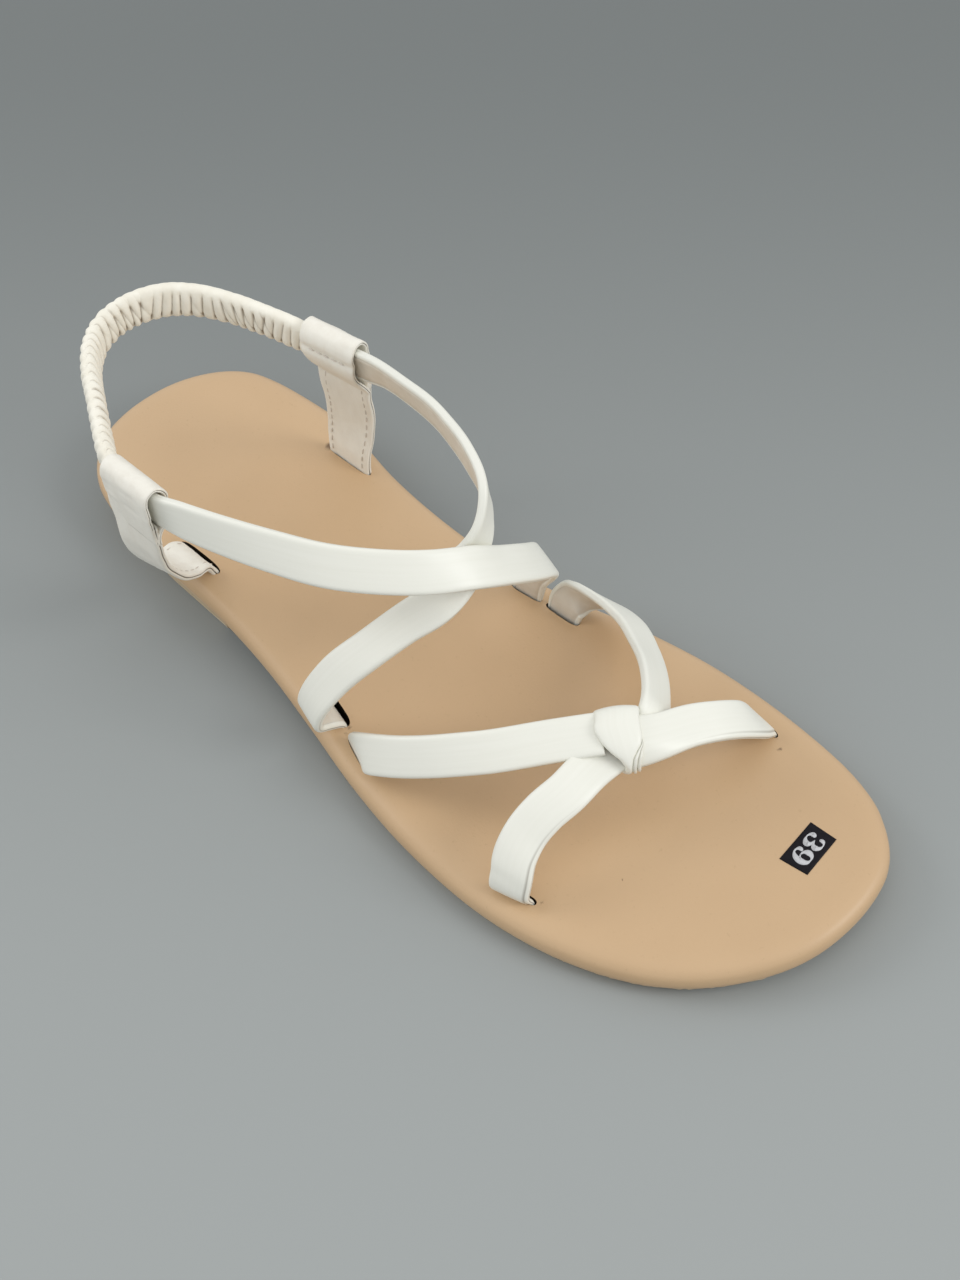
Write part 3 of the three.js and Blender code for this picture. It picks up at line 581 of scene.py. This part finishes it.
def strap(name, rows, slot, first=True, shape=None, half=STRAP_WIDTH / 2, replaces=(), stepped=False):
    """Folded section carried along the rows and down into a slot, before the first row or after the last, and
    pressed thinner there. half may be a function of the distance from the slot's end; shape(along, across, whole
    length) is added to the faces. stepped: the upper layer ends a little inside the edge that faces the toe."""
    down = slot_rows(slot, True)
    point, _, side, face, along = stations(down + rows if first else rows + down[::-1], STATION_GAP)
    turned = -1 if face[:, 2].sum() < 0 else 1
    side, face = side * turned, face * turned
    away = along if first else along[-1] - along
    half = half(away) if callable(half) else np.full(along.shape, half)
    across, out, inside, joint = folded_section(half, STRAP_THICKNESS)
    out = out * (1 - PRESSED * bell(away, PRESS_REACH))[:, None]
    if shape is not None:
        out = out + shape(along[:, None], across, along[-1])
    # How open the layers are, most near the slot: it deepens the step and the painted shade in the layer joint
    opened = SLOTS[slot][5] * (0.15 + 0.85 * bell(away - 5, 24 if stepped else 15))
    if stepped:
        edge = UPPER_EDGES[0] if side[:, 0].mean() > 0 else UPPER_EDGES[1]
        out[:, edge] -= STEP_DEPTH * opened[:, None]
        joint[edge[-1]] = STEP_SHADE
    grid = carry(across, out, point, side, face)
    layers = {"lining": inside, "joint": joint[None] * opened[:, None]}
    make(name, grid.reshape(-1, 3), capped(*grid.shape[:2]), white_leather(), "white_leather", replaces, layers,
         flat_uv(along[:, None], across))


def crease(along, across, at, width, depth, slant=0.0):
    """Soft trough across a strap at a place along it, slanted by so many millimetres per millimetre across."""
    return -depth * bell(along - at - slant * across, width)


def instep_straps():
    """Two straps from the loops of the tabs, each to the slot on the other side."""
    strap("instep_strap_over", OVER_INSTEP, "instep_inner", False, replaces=["instep_straps"],
          half=lambda away: STRAP_WIDTH / 2 - 0.7 * bell(away, 7),
          shape=lambda along, across, whole: crease(along, across, whole - 24, width=1.4, depth=0.2, slant=0.3))
    strap("instep_strap_under", UNDER_INSTEP, "instep_outer", False,
          shape=lambda along, across, whole: crease(along, across, whole - 13, width=1.8, depth=0.12, slant=-0.2))


def toe_straps():
    """Four arms from their slots to the knot; the front inner one curls under at the knot."""
    strap("toe_strap_rear_outer", TOE_REAR_OUTER, "toe_rear_outer", replaces=["toe_straps"],
          shape=lambda along, across, _: crease(along, across, 12, width=1.5, depth=0.1, slant=0.5))
    strap("toe_strap_rear_inner", TOE_REAR_INNER, "toe_rear_inner",
          half=lambda away: STRAP_WIDTH / 2 + 0.4 * bell(away - 12, 8) - 0.9 * bell(away.max() - away, 5))
    strap("toe_strap_front_outer", TOE_FRONT_OUTER, "toe_front_outer", stepped=True,
          shape=lambda along, across, _: crease(along, across, 13, width=1.6, depth=0.1, slant=0.3))
    strap("toe_strap_front_inner", TOE_FRONT_INNER, "toe_front_inner", False, stepped=True,
          half=lambda away: STRAP_WIDTH / 2 + 0.7 * bell(away.max() - away, 8),
          shape=lambda along, across, _: -2.4 * np.clip(-across / 5.3, 0, 2) ** 2 * bell(along, 9))


def knot_oval():
    """Middle line of the knot's turn of strap: an oval squared up by signed powers. Gives its degrees, points, the
    way out of its face, and its two rims along the knot's axis, smoothed by a bell."""
    degrees = np.linspace(0, 360, 181)[:-1]
    angle = np.radians(degrees)
    u = signed_power(np.cos(angle), 0.85) * 6.6 - 1.0
    w = signed_power(np.sin(angle), 0.75) * 3.6 - 0.2
    middle = KNOT_MIDDLE + u[:, None] * KNOT_SIDE + w[:, None] * KNOT_OUT
    tangent = unit(np.roll(middle, -1, 0) - np.roll(middle, 1, 0))
    face = np.cross(tangent, -KNOT_AXIS)
    face *= np.sign((face * (middle - KNOT_MIDDLE)).sum())
    soft = bell(np.linspace(-2, 2, 9), 1)
    at, *sides = np.array(KNOT_RIMS).T
    rims = []
    for side in sides:
        rim = np.interp(degrees, at, side)
        rims.append(np.convolve(np.concatenate([rim[-4:], rim, rim[:4]]), soft / soft.sum(), "valid"))
    return degrees, middle, face, rims


def knot():
    """Turn of strap wound round the joint of the arms: a crowned folded section between its rims, carried round
    the oval. Its folded edge shows as two thin layers that grow along the lower half of a rim."""
    degrees, middle, face, (left, right) = knot_oval()
    half = (right - left)[:, None] / 2
    across, out, inside, _ = folded_section(half, 1.6)
    out = out + 0.55 * (1 - (across / half) ** 2)
    place = (left + right)[:, None] / 2 + across
    grid = middle[:, None] + place[..., None] * KNOT_AXIS + out[..., None] * face[:, None]
    rows, columns = grid.shape[:2]
    wrap = quads(rows + 1, columns) % (rows * columns)
    make("toe_knot", grid.reshape(-1, 3), wrap[:, ::-1], white_leather(), "white_leather", (), {"lining": inside},
         flat_uv((degrees * 0.1)[:, None], across))
    lower = (degrees > 94) & (degrees < 190)
    grow = np.clip((degrees[lower] - 94) / 40, 0.05, 1)
    cos, sin = np.cos(circle(10))[:, None], np.sin(circle(10))[:, None]
    oval = 1.1 * cos * KNOT_AXIS + 2.2 * sin * face[lower][:, None]
    edges = []
    for beyond, lift in ((0.15, 0.5), (0.95, 0.15)):
        centre = middle[lower] + (right[lower] + beyond * grow * 1.25)[:, None] * KNOT_AXIS + lift * face[lower]
        edges.append(centre[:, None] + 0.5 * grow[:, None, None] * oval)
    points, faces = joined(edges)
    layers = {"lining": np.full(len(points), 0.1)}
    make("toe_knot_layers", points, faces, white_leather(), "white_leather", (), layers)


# Side tabs

LEG_THICKNESS, BAND_THICKNESS = 2.0, 1.15
SEWN_HEIGHT = 1.5           # of the groove across a loop, over its middle
STITCH_INSET = 2.0          # of the rows of stitches, from a leg's edges
STITCH_PITCH, CROSS_PITCH = 3.0, 2.5    # from stitch to stitch up a leg, and across a loop


def tab_leg(side):
    """Frames, grid and joint of a leg from its slot to its loop: a doubled section, uneven by seeded noise, with
    its heel side flared in a bell towards the loop."""
    x, y, z, turn, sign = LOOPS[side]
    seat = (x, y + sign * (LOOP_DEPTH / 2 - 1.1), z - LOOP_HEIGHT / 2 + 3, turn, 0)
    path = stations(slot_rows("tab_" + side) + TAB_LEGS[side] + [seat], 0.7)
    point, _, cross, face, along = path
    across, out, joint = doubled_section(np.full(len(along), TAB_WIDTH / 2), LEG_THICKNESS)
    out = out + 0.2 * bumps(along / 5, 21)[:, None] * np.cos(across / 3.1)
    out = out + 0.12 * bumps(across / 2 + along[:, None] / 9, 22)
    across = across * (1 + bell(along[-1] - along, 9)[:, None] * np.where(across < 0, 0.22, 0.06))
    return path, carry(across, out, point, cross, face), joint


def tab_loop(side):
    """Frames and grid of the band carried round a drop-shaped loop that closes on its leg, and the seat of its
    seam. It narrows at its foot, is grooved in a bell where it is sewn, and creased by seeded noise."""
    x, y, z, turn, sign = LOOPS[side]
    ax, ay = heading(turn)
    rows = [(x - ay * off * sign, y + ax * off * sign, z + up, turn + 180 * (sign > 0), 0)
            for off, up in LOOP_FEET[side] + LOOP_DROP]
    path = stations(rows, 0.45)
    point, _, cross, face, along = path
    height = point[:, 2] - z
    high = np.clip((height + 8) / 8, 0, 1)
    across, out, _ = doubled_section(TAB_WIDTH / 2 + 1.1 * high, BAND_THICKNESS)
    low = np.clip((-1.5 - height) / 9, 0, 1)[:, None]
    across = across * (1 - 0.26 * low * (across * cross[:, :1] < 0))
    fold = 0.3 * bumps(along / 1.7, 31)[:, None] * np.sin(across / 2.6 + 1)
    fold = fold + 0.25 * bumps(across / 1.5 + along[:, None] / 3, 33)
    outward = np.sign(((point - (x, y, z)) * face).sum())
    first_half = along < along[-1] / 2
    groove = 0.45 * bell(height - SEWN_HEIGHT, 1.1) * first_half * outward
    out = out + fold * (high * (1 - 0.8 * first_half))[:, None] - groove[:, None]
    sewn = along[np.argmin(np.abs(height - SEWN_HEIGHT) + 100 * ~first_half)]
    return path, carry(across, out, point, cross, face), (sewn, 0.34 * outward)


def side_tab(side, node):
    """Leg and loop as one piece, two rows of stitches up the leg and one row across the loop."""
    leg, leg_grid, joint = tab_leg(side)
    loop, loop_grid, (sewn, out) = tab_loop(side)
    points, faces = joined([leg_grid, loop_grid])
    joint = np.tile(joint, len(points) // len(joint))
    make("tab_" + side + "_leather", points, faces, tab_leather(), "tab_leather", [node], {"joint": joint})
    edge = TAB_WIDTH / 2 - STITCH_INSET
    face, along = leg[3:]
    inward = -LOOPS[side][4] * np.sign(face[:, 1].sum())
    up_leg = np.arange(7.5, along[-1] - 6, STITCH_PITCH)
    seats = [(at, across, 1.02 * inward, 0) for at in up_leg for across in (-edge, edge)]
    stitches("tab_" + side + "_stitches", seats, leg)
    seats = [(sewn, across, out, 1) for across in np.arange(-edge + 0.8, edge, CROSS_PITCH)]
    stitches("tab_" + side + "_cross_stitches", seats, loop)


def stitches(name, seats, path):
    """Short stitches at (along, across, out, turned) on a path's frames: hexagons that swell and shrink along each
    one. A turned one lies across the path."""
    *frames, along = path
    seats = np.array(seats)
    belly = np.array([(-1.0, 0.02), (-0.8, 0.16), (0, 0.2), (0.8, 0.16), (1.0, 0.02)])
    point, way, side, face = (sampled(seats[:, 0], along, v) for v in frames)
    middle = point + side * seats[:, 1:2] + face * seats[:, 2:3]
    turned = seats[:, 3:4] > 0
    way, side = np.where(turned, side, way), np.where(turned, -way, side)
    cos, sin = np.cos(circle(6))[:, None], np.sin(circle(6))[:, None]
    hexagon = cos * side[:, None] + sin * face[:, None]
    rings = np.stack([middle[:, None] + at * way[:, None] + radius * hexagon for at, radius in belly], 1)
    make(name, *joined(rings), plain("stitch_thread"), "tab_leather")


# Heel elastic

ELASTIC_STATIONS, ELASTIC_SIDES = 900, 60
ELASTIC_HALF = (2.3, 5.0)
PLEAT = 2.9                 # distance of the gathers


def pleats(phase, power):
    """Narrow creases at whole numbers of a phase: 1 minus the size of its sine to a power."""
    return 1 - np.abs(np.sin(np.pi * phase)) ** power


def gathers(s, whole, across, high):
    """Relief of the gathered cloth, and the painted shade down in its creases. Two families of pleats lean with
    the height and wander by seeded noise; the second comes and goes, so that they meet in zigzags. They fade over
    the round top and at the held ends, are softer on the outer face, and pinch the lower edge."""
    inner = 1 / (1 + np.exp(-(across - 0.1) / 0.35))
    wander = 0.45 * bumps(s / 9, 11) + 0.2 * bumps(s / 4, 12) * np.sign(across)
    lean = inner * 0.05 * high * (1 + 1.2 * bumps(s / 6, 13)) + (1 - inner) * (-0.13 * high + 0.5)
    main = pleats(s / PLEAT + wander + lean, 0.42 + 0.6 * (1 - inner))
    second = pleats(s / PLEAT + wander - 0.11 * high + 0.35, 0.3)
    second = second * np.clip(1.6 * bumps(s / 5, 17) + 0.6, 0, 1) * inner
    below_top = np.clip((4.0 - high + 0.6 * bumps(s / 2.3, 18)) / 1.3, 0, 1)
    outer_side = np.clip((s / whole - 0.40) / 0.16, 0, 1)
    held = np.clip(np.minimum(s, whole - s) / 7 - 0.5, 0, 1)
    depth = held * (0.13 + 0.87 * np.maximum(below_top, 0.85 * outer_side)) * (0.55 + 0.45 * inner)
    fold = np.clip(main + 0.85 * second, 0, 1) * depth
    pinch = np.clip(main, 0, 1) ** 2 * bell(high + 3.3, 0.7) * inner * held
    relief = 0.15 * held - 1.2 * fold - 0.7 * pinch + 0.1 * bumps(s / 1.9, 19) * held - 0.2 * (1 - held)
    # Painted shade down in the creases and pinches, stronger on the inner face
    return relief, np.clip(fold ** 1.3 * (0.35 + 0.65 * inner) + 1.5 * pinch, 0, 1)


def heel_elastic():
    """Flat oval, squared up by signed powers, carried upright along the heel path and swollen by its gathers."""
    dense = curve(ELASTIC_PATH, np.linspace(0, 1, 1500))
    length = lengths(dense)
    s = np.linspace(0, length[-1], ELASTIC_STATIONS)
    point = sampled(s, length, dense)
    up = np.array((0, 0, 1.0))
    out = unit(np.cross(up, unit(np.gradient(point, axis=0))))
    angle = circle(ELASTIC_SIDES)
    across = signed_power(np.cos(angle), 0.75)[None] * ELASTIC_HALF[0]
    high = signed_power(np.sin(angle), 0.8)[None] * ELASTIC_HALF[1]
    relief, depth = gathers(s[:, None], length[-1], across, high)
    grid = carry(across * (1 + relief / 3), high * (1 + relief / 8), point, out, np.broadcast_to(up, point.shape))
    # The crease layer carries the painted shade down in the creases
    make("gathered_heel_strap", grid.reshape(-1, 3), capped(*grid.shape[:2]), gathered_cloth(), "elastic",
         ["heel_elastic"], {"crease": depth})


# Size patch

def on_patch(right, up):
    """Plan place of shares of the patch: bilinear between its corners."""
    a, b, c, d = np.array(PATCH_CORNERS, float)
    right, up = np.asarray(right)[..., None], np.asarray(up)[..., None]
    return (1 - up) * ((1 - right) * a + right * b) + up * ((1 - right) * d + right * c)


def laid(plan, rise):
    """Plan points laid on the footbed, raised by rise."""
    x, y = plan[..., 0], plan[..., 1]
    return np.stack([x, y, bed_top(x) + bed_relief(x, y) + rise], -1)


def size_patch():
    """Thin printed plate, and each stroke of its figures as a low ribbon whose width follows its table."""
    across = np.concatenate([[0], np.linspace(0, 1, 9), [1]])
    rise = np.array([-0.2] + [0.1] * 9 + [-0.2])
    along = np.linspace(0, 1, 13)
    plate = laid(on_patch(*np.broadcast_arrays(across[None], along[:, None])), rise)
    make("size_patch", plate.reshape(-1, 3), capped(*plate.shape[:2]), plain("patch_black"), "tan_leather")
    ribbons = []
    for (left, low, right, high), stroke in FIGURES:
        u, v, wide = curve(stroke, np.linspace(0, 1, 60)).T
        middle = on_patch(left + u * (right - left), low + v * (high - low))
        way = unit(np.gradient(middle, axis=0))
        aside = np.stack([-way[:, 1], way[:, 0]], 1) * (wide * FIGURE_WIDTH)[:, None]
        plan = middle[:, None] + np.array([-1, -1, 1, 1])[None, :, None] * aside[:, None]
        ribbons.append(laid(plan, np.array([0.06, 0.15, 0.15, 0.06])))
    make("size_figures", *joined(ribbons), plain("patch_white"), "white_leather")


# Materials

class Finish:
    """Short hand for a node material, made with settings of its shader by name."""

    def __init__(self, name, **settings):
        self.material = bpy.data.materials.new(name)
        self.material.use_nodes = True
        self.tree = self.material.node_tree
        self.shader = self.tree.nodes["Principled BSDF"]
        for key, value in settings.items():
            self.shader.inputs[key.replace("_", " ")].default_value = value

    def add(self, kind, inputs=None, **settings):
        """New node with its settings; an input is a value or another node's socket."""
        node = self.tree.nodes.new("ShaderNode" + kind)
        for key, value in settings.items():
            setattr(node, key, value)
        for key, value in (inputs or {}).items():
            if isinstance(value, bpy.types.NodeSocket):
                self.tree.links.new(value, node.inputs[key])
            else:
                node.inputs[key].default_value = value
        return node

    def noise(self, place, scale, detail=3.0, rough=0.5):
        """Cloudy noise from 0 to 1, with so many cells to a metre."""
        settings = {"Vector": place, "Scale": scale, "Detail": detail, "Roughness": rough}
        return self.add("TexNoise", settings).outputs["Fac"]

    def ramp(self, fac, low, high):
        """A value spread so that low gives 0 and high gives 1."""
        return self.add("MapRange", {"Value": fac, "From Min": low, "From Max": high}).outputs["Result"]

    def mix(self, fac, a, b):
        """Mix of two colours, each a name in the table or a socket."""
        a, b = ((*COLOURS[c], 1) if isinstance(c, str) else c for c in (a, b))
        return self.add("Mix", {0: fac, 6: a, 7: b}, data_type="RGBA").outputs[2]

    def colour(self, socket):
        """Uses a socket as the colour."""
        self.tree.links.new(socket, self.shader.inputs["Base Color"])

    def rough(self, fac, low, high):
        """Roughness from low to high as the value goes from 0 to 1."""
        spread = self.add("MapRange", {"Value": fac, "To Min": low, "To Max": high})
        self.tree.links.new(spread.outputs["Result"], self.shader.inputs["Roughness"])

    def bump(self, *layers):
        """Stacks layers of relief: height, distance in metres, strength. Gives the finished material."""
        under = {}
        for height, distance, strength in layers:
            inputs = {"Height": height, "Distance": distance, "Strength": strength, **under}
            under = {"Normal": self.add("Bump", inputs).outputs["Normal"]}
        self.tree.links.new(under["Normal"], self.shader.inputs["Normal"])
        return self.material

    def place(self, scale=(1, 1, 1), uv=False):
        """Place in metres, in the object or along and across the piece, stretched by a scale."""
        place = self.add("UVMap", uv_map="UVMap").outputs["UV"] if uv else self.add("TexCoord").outputs["Object"]
        return self.add("Mapping", {"Vector": place, "Scale": scale}).outputs["Vector"]

    def layer(self, name):
        """A layer of values kept on the mesh."""
        return self.add("Attribute", attribute_name=name).outputs["Fac"]

    def vector(self, operation, a, b):
        """Result of a vector sum."""
        node = self.add("VectorMath", {0: a, 1: b}, operation=operation)
        return node.outputs["Value" if operation in ("DISTANCE", "DOT_PRODUCT") else "Vector"]


# Two colours, their cells to a metre, settings of the shader, and grain: cells to a metre, depth, strength
PLAIN_FINISHES = {
    # Walls of the slots: nearly black, painted shade deep in the narrow slots
    "slot_wall_shade": ("slot wall shade", "light slot wall shade", 600, {"Roughness": 0.95, "Specular_IOR_Level": 0.05}, None),
    "stitch_thread": ("thread", "dark thread", 900, {"Roughness": 0.7}, (3000, 0.0001, 0.5)),
    "patch_black": ("ink", "worn ink", 1200, {"Roughness": 0.55, "Specular_IOR_Level": 0.12}, (2500, 5e-5, 0.3)),
    "patch_white": ("figure", "dark figure", 2500, {}, (2500, 5e-5, 0.3)),
}


@cache
def tan_leather():
    """Footbed: cloudy tan with fine specks, ragged dark spots (painted shade at the slot ends, marks elsewhere),
    pore grain and slight waves.
    """
    f = Finish("tan_leather", Specular_IOR_Level=0.42, Coat_Weight=0.12, Coat_Roughness=0.35)
    place = f.place()
    tone = f.mix(f.ramp(f.noise(place, 22, 2), 0.35, 0.65), "tan", "light tan")
    tone = f.mix(f.ramp(f.noise(place, 900, 3, 0.6), 0.64, 0.84), tone, "tan speck")
    shake = f.add("TexNoise", {"Vector": place, "Scale": 900}).outputs["Color"]
    shaken = f.vector("ADD", place, f.vector("MULTIPLY", shake, (0.0016, 0.0016, 0.0016)))
    # Ragged dark spots: painted shade where the leather puckers into the slot ends, and marks on the leather
    # elsewhere
    for x, y, z, radius in SLOT_SHADE_AND_MARKS:
        away = f.vector("DISTANCE", shaken, to_metres((x, y, z)) + 0.0008)
        tone = f.mix(f.ramp(away, radius * 0.001, radius * 0.0002), tone, "slot shade and mark")
    f.colour(tone)
    f.rough(f.noise(place, 60, 3), 0.40, 0.52)
    return f.bump((f.noise(place, 1400, 4, 0.6), 0.00012, 0.35), (f.noise(place, 110, 2), 0.0006, 0.12))


@cache
def white_leather():
    """Straps: white with faint streaks along and a few dark dots, a greyer lining, and dark joints of the layers,
    painted darker as shade in the gap where the layers open near a slot.
    """
    f = Finish("white_leather", Specular_IOR_Level=0.45, Coat_Weight=0.15, Coat_Roughness=0.3)
    streak = f.noise(f.place((26, 900, 1), uv=True), 1.0, 4, 0.6)
    place = f.place()
    white = f.mix(f.ramp(streak, 0.35, 0.7), "white", "white streak")
    lining = f.mix(f.ramp(f.noise(place, 300, 3), 0.3, 0.7), "lining", "dark lining")
    tone = f.mix(f.layer("lining"), white, lining)
    # Dark joint of the layers, painted darker as shade in the gap where they open near a slot
    tone = f.mix(f.ramp(f.layer("joint"), 0.15, 1.0), tone, "strap joint and gap shade")
    cell = f.add("TexVoronoi", {"Vector": place, "Scale": 75})
    share = f.add("SeparateColor", {0: cell.outputs["Color"]}).outputs[0]
    dot = {0: f.ramp(cell.outputs["Distance"], 0.020, 0.010), 1: f.ramp(share, 0.70, 0.71)}
    f.colour(f.mix(f.add("Math", dot, operation="MULTIPLY").outputs[0], tone, "white speck"))
    f.rough(streak, 0.36, 0.46)
    return f.bump((f.noise(place, 1800, 3, 0.5), 0.00006, 0.3), (streak, 0.00003, 0.07))


@cache
def tab_leather():
    """Tabs: creamy leather with upright clouds and pore grain, dark at the joints of the layers."""
    f = Finish("tab_leather", Specular_IOR_Level=0.4)
    cloud = f.ramp(f.noise(f.place((1, 1, 0.3)), 420, 4, 0.6), 0.35, 0.7)
    grain = f.noise(f.place(), 1500, 4, 0.6)
    f.colour(f.mix(f.ramp(f.layer("joint"), 0.2, 1.0), f.mix(cloud, "tab", "dark tab"), "tab joint"))
    f.rough(grain, 0.45, 0.62)
    return f.bump((grain, 0.0001, 0.4))


@cache
def gathered_cloth():
    """Heel elastic: off-white cloth, with painted shade down in its creases."""
    f = Finish("gathered_cloth", Specular_IOR_Level=0.35, Sheen_Weight=0.1)
    place = f.place()
    tone = f.mix(f.ramp(f.noise(place, 260, 3), 0.35, 0.7), "cloth", "dark cloth")
    # Painted shade down in the creases
    f.colour(f.mix(f.ramp(f.layer("crease"), 0.22, 1.0), tone, "crease"))
    f.rough(f.noise(place, 500), 0.48, 0.66)
    return f.bump((f.noise(place, 1500, 3, 0.6), 0.00012, 0.4))


@cache
def sole_rubber():
    """Outsole: pitted brown rubber."""
    f = Finish("sole_rubber", Specular_IOR_Level=0.3, Roughness=0.82)
    place = f.place()
    f.colour(f.mix(f.ramp(f.noise(place, 520, 3, 0.65), 0.62, 0.74), "rubber", "rubber pit"))
    return f.bump((f.noise(place, 900, 4, 0.6), 0.0003, 0.6))


@cache
def heel_crepe():
    """Heel lift: pitted crepe in flat bands."""
    f = Finish("heel_crepe", Specular_IOR_Level=0.3, Roughness=0.85)
    bands = f.noise(f.place((6, 6, 260)), 4.0, 3, 0.6)
    place = f.place()
    tone = f.mix(f.ramp(bands, 0.4, 0.6), "crepe", "crepe band")
    f.colour(f.mix(f.ramp(f.noise(place, 420, 3, 0.7), 0.66, 0.74), tone, "crepe pit"))
    return f.bump((f.noise(place, 700, 4, 0.6), 0.0004, 0.6), (bands, 0.0004, 0.4))


@cache
def plain(name):
    """Small pieces: two colours mixed by noise, and grain where the table has it."""
    a, b, cells, settings, grain = PLAIN_FINISHES[name]
    f = Finish(name, **settings)
    f.colour(f.mix(f.noise(f.place(), cells), a, b))
    return f.bump((f.noise(f.place(), grain[0]), *grain[1:])) if grain else f.material


# Floor, light and camera

FLOOR_REACH = 4             # metres from the middle to each edge
TOWARDS_CAMERA = (0.65, -0.76, 0)
# The floor's tone is painted light, lighter towards the camera as the light falls off away from it
FLOOR_LIGHT_FALLOFF = (-0.32, 0.2)   # metres towards the camera between which the floor's tone changes
SKY = (0.97, 0.985, 1.0, 1)
SKY_STRENGTH = 0.79
# The photograph's camera, in the frame of the part: its axes, place in metres, and focal length in pixels
FORWARD, RIGHT, UP = (-0.4357, 0.5013, -0.7476), (0.758, 0.6523, -0.0044), (-0.4854, 0.5686, 0.6641)
EYE = (0.1914, -0.147, 0.3332)
FOCAL_LENGTH = 962.8
PHOTO_SIZE = (960, 1280)
SHOE_MIDDLE = (395, 728)    # pixel of the photograph that the camera here is aimed at
CLOSER = 1.6                # how much longer the lens is here
SENSOR_WIDTH = 36           # millimetres


def floor():
    """Flat floor with painted light: its tone goes from darker far off to lighter near the camera, in a soft S, as
    the light falls off away from the camera side.
    """
    a = FLOOR_REACH
    mesh = bpy.data.meshes.new("floor")
    mesh.from_pydata([(-a, -a, 0), (a, -a, 0), (a, a, 0), (-a, a, 0)], [], [(0, 1, 2, 3)])
    ground = placed("floor", mesh)
    f = Finish("pale_floor", Roughness=0.7, Specular_IOR_Level=0.3)
    # Painted light: the floor lighter towards the camera
    near = f.vector("DOT_PRODUCT", f.place(), TOWARDS_CAMERA)
    light_falloff = {"Value": near, "From Min": FLOOR_LIGHT_FALLOFF[0], "From Max": FLOOR_LIGHT_FALLOFF[1]}
    light_falloff = f.add("MapRange", light_falloff, interpolation_type="SMOOTHSTEP").outputs["Result"]
    f.colour(f.mix(light_falloff, "shaded far floor", "lit near floor"))
    mesh.materials.append(f.material)


def light():
    """Even sky, and round lamps turned to their targets."""
    world = bpy.data.worlds.new("studio")
    world.use_nodes = True
    sky = world.node_tree.nodes["Background"].inputs
    sky["Color"].default_value = SKY
    sky["Strength"].default_value = SKY_STRENGTH
    bpy.context.scene.world = world
    for name, place, target, size, power in LAMPS:
        disk = bpy.data.lights.new(name, "AREA")
        disk.shape = "DISK"
        disk.size = size
        disk.energy = power
        lamp = placed(name, disk)
        lamp.location = place
        lamp.rotation_euler = (Vector(target) - Vector(place)).to_track_quat("-Z", "Y").to_euler()
    bpy.context.scene.view_settings.view_transform = "Standard"


def camera():
    """The photograph's camera, turned in place to the middle of the shoe and with a longer lens."""
    forward, right, up = np.array([FORWARD, RIGHT, UP])
    aside, down = (np.array(SHOE_MIDDLE) - np.array(PHOTO_SIZE) / 2) / FOCAL_LENGTH
    aim = unit(forward + aside * right - down * up)
    up = unit(up - (up @ aim) * aim)
    right = np.cross(aim, up)
    lens = bpy.data.cameras.new("camera")
    lens.sensor_fit = "HORIZONTAL"
    lens.sensor_width = SENSOR_WIDTH
    lens.lens = FOCAL_LENGTH * CLOSER * SENSOR_WIDTH / PHOTO_SIZE[0]
    lens.clip_start = 0.01
    eye = placed("camera", lens)
    turn = Matrix((right, up, -aim)).transposed().to_4x4()
    turn.translation = EYE
    eye.matrix_world = turn
    bpy.context.scene.camera = eye


floor()
light()
camera()
footbed()
outsole()
heel_lift()
instep_straps()
toe_straps()
knot()
side_tab("inner", "tab_medial")
side_tab("outer", "tab_lateral")
heel_elastic()
size_patch()
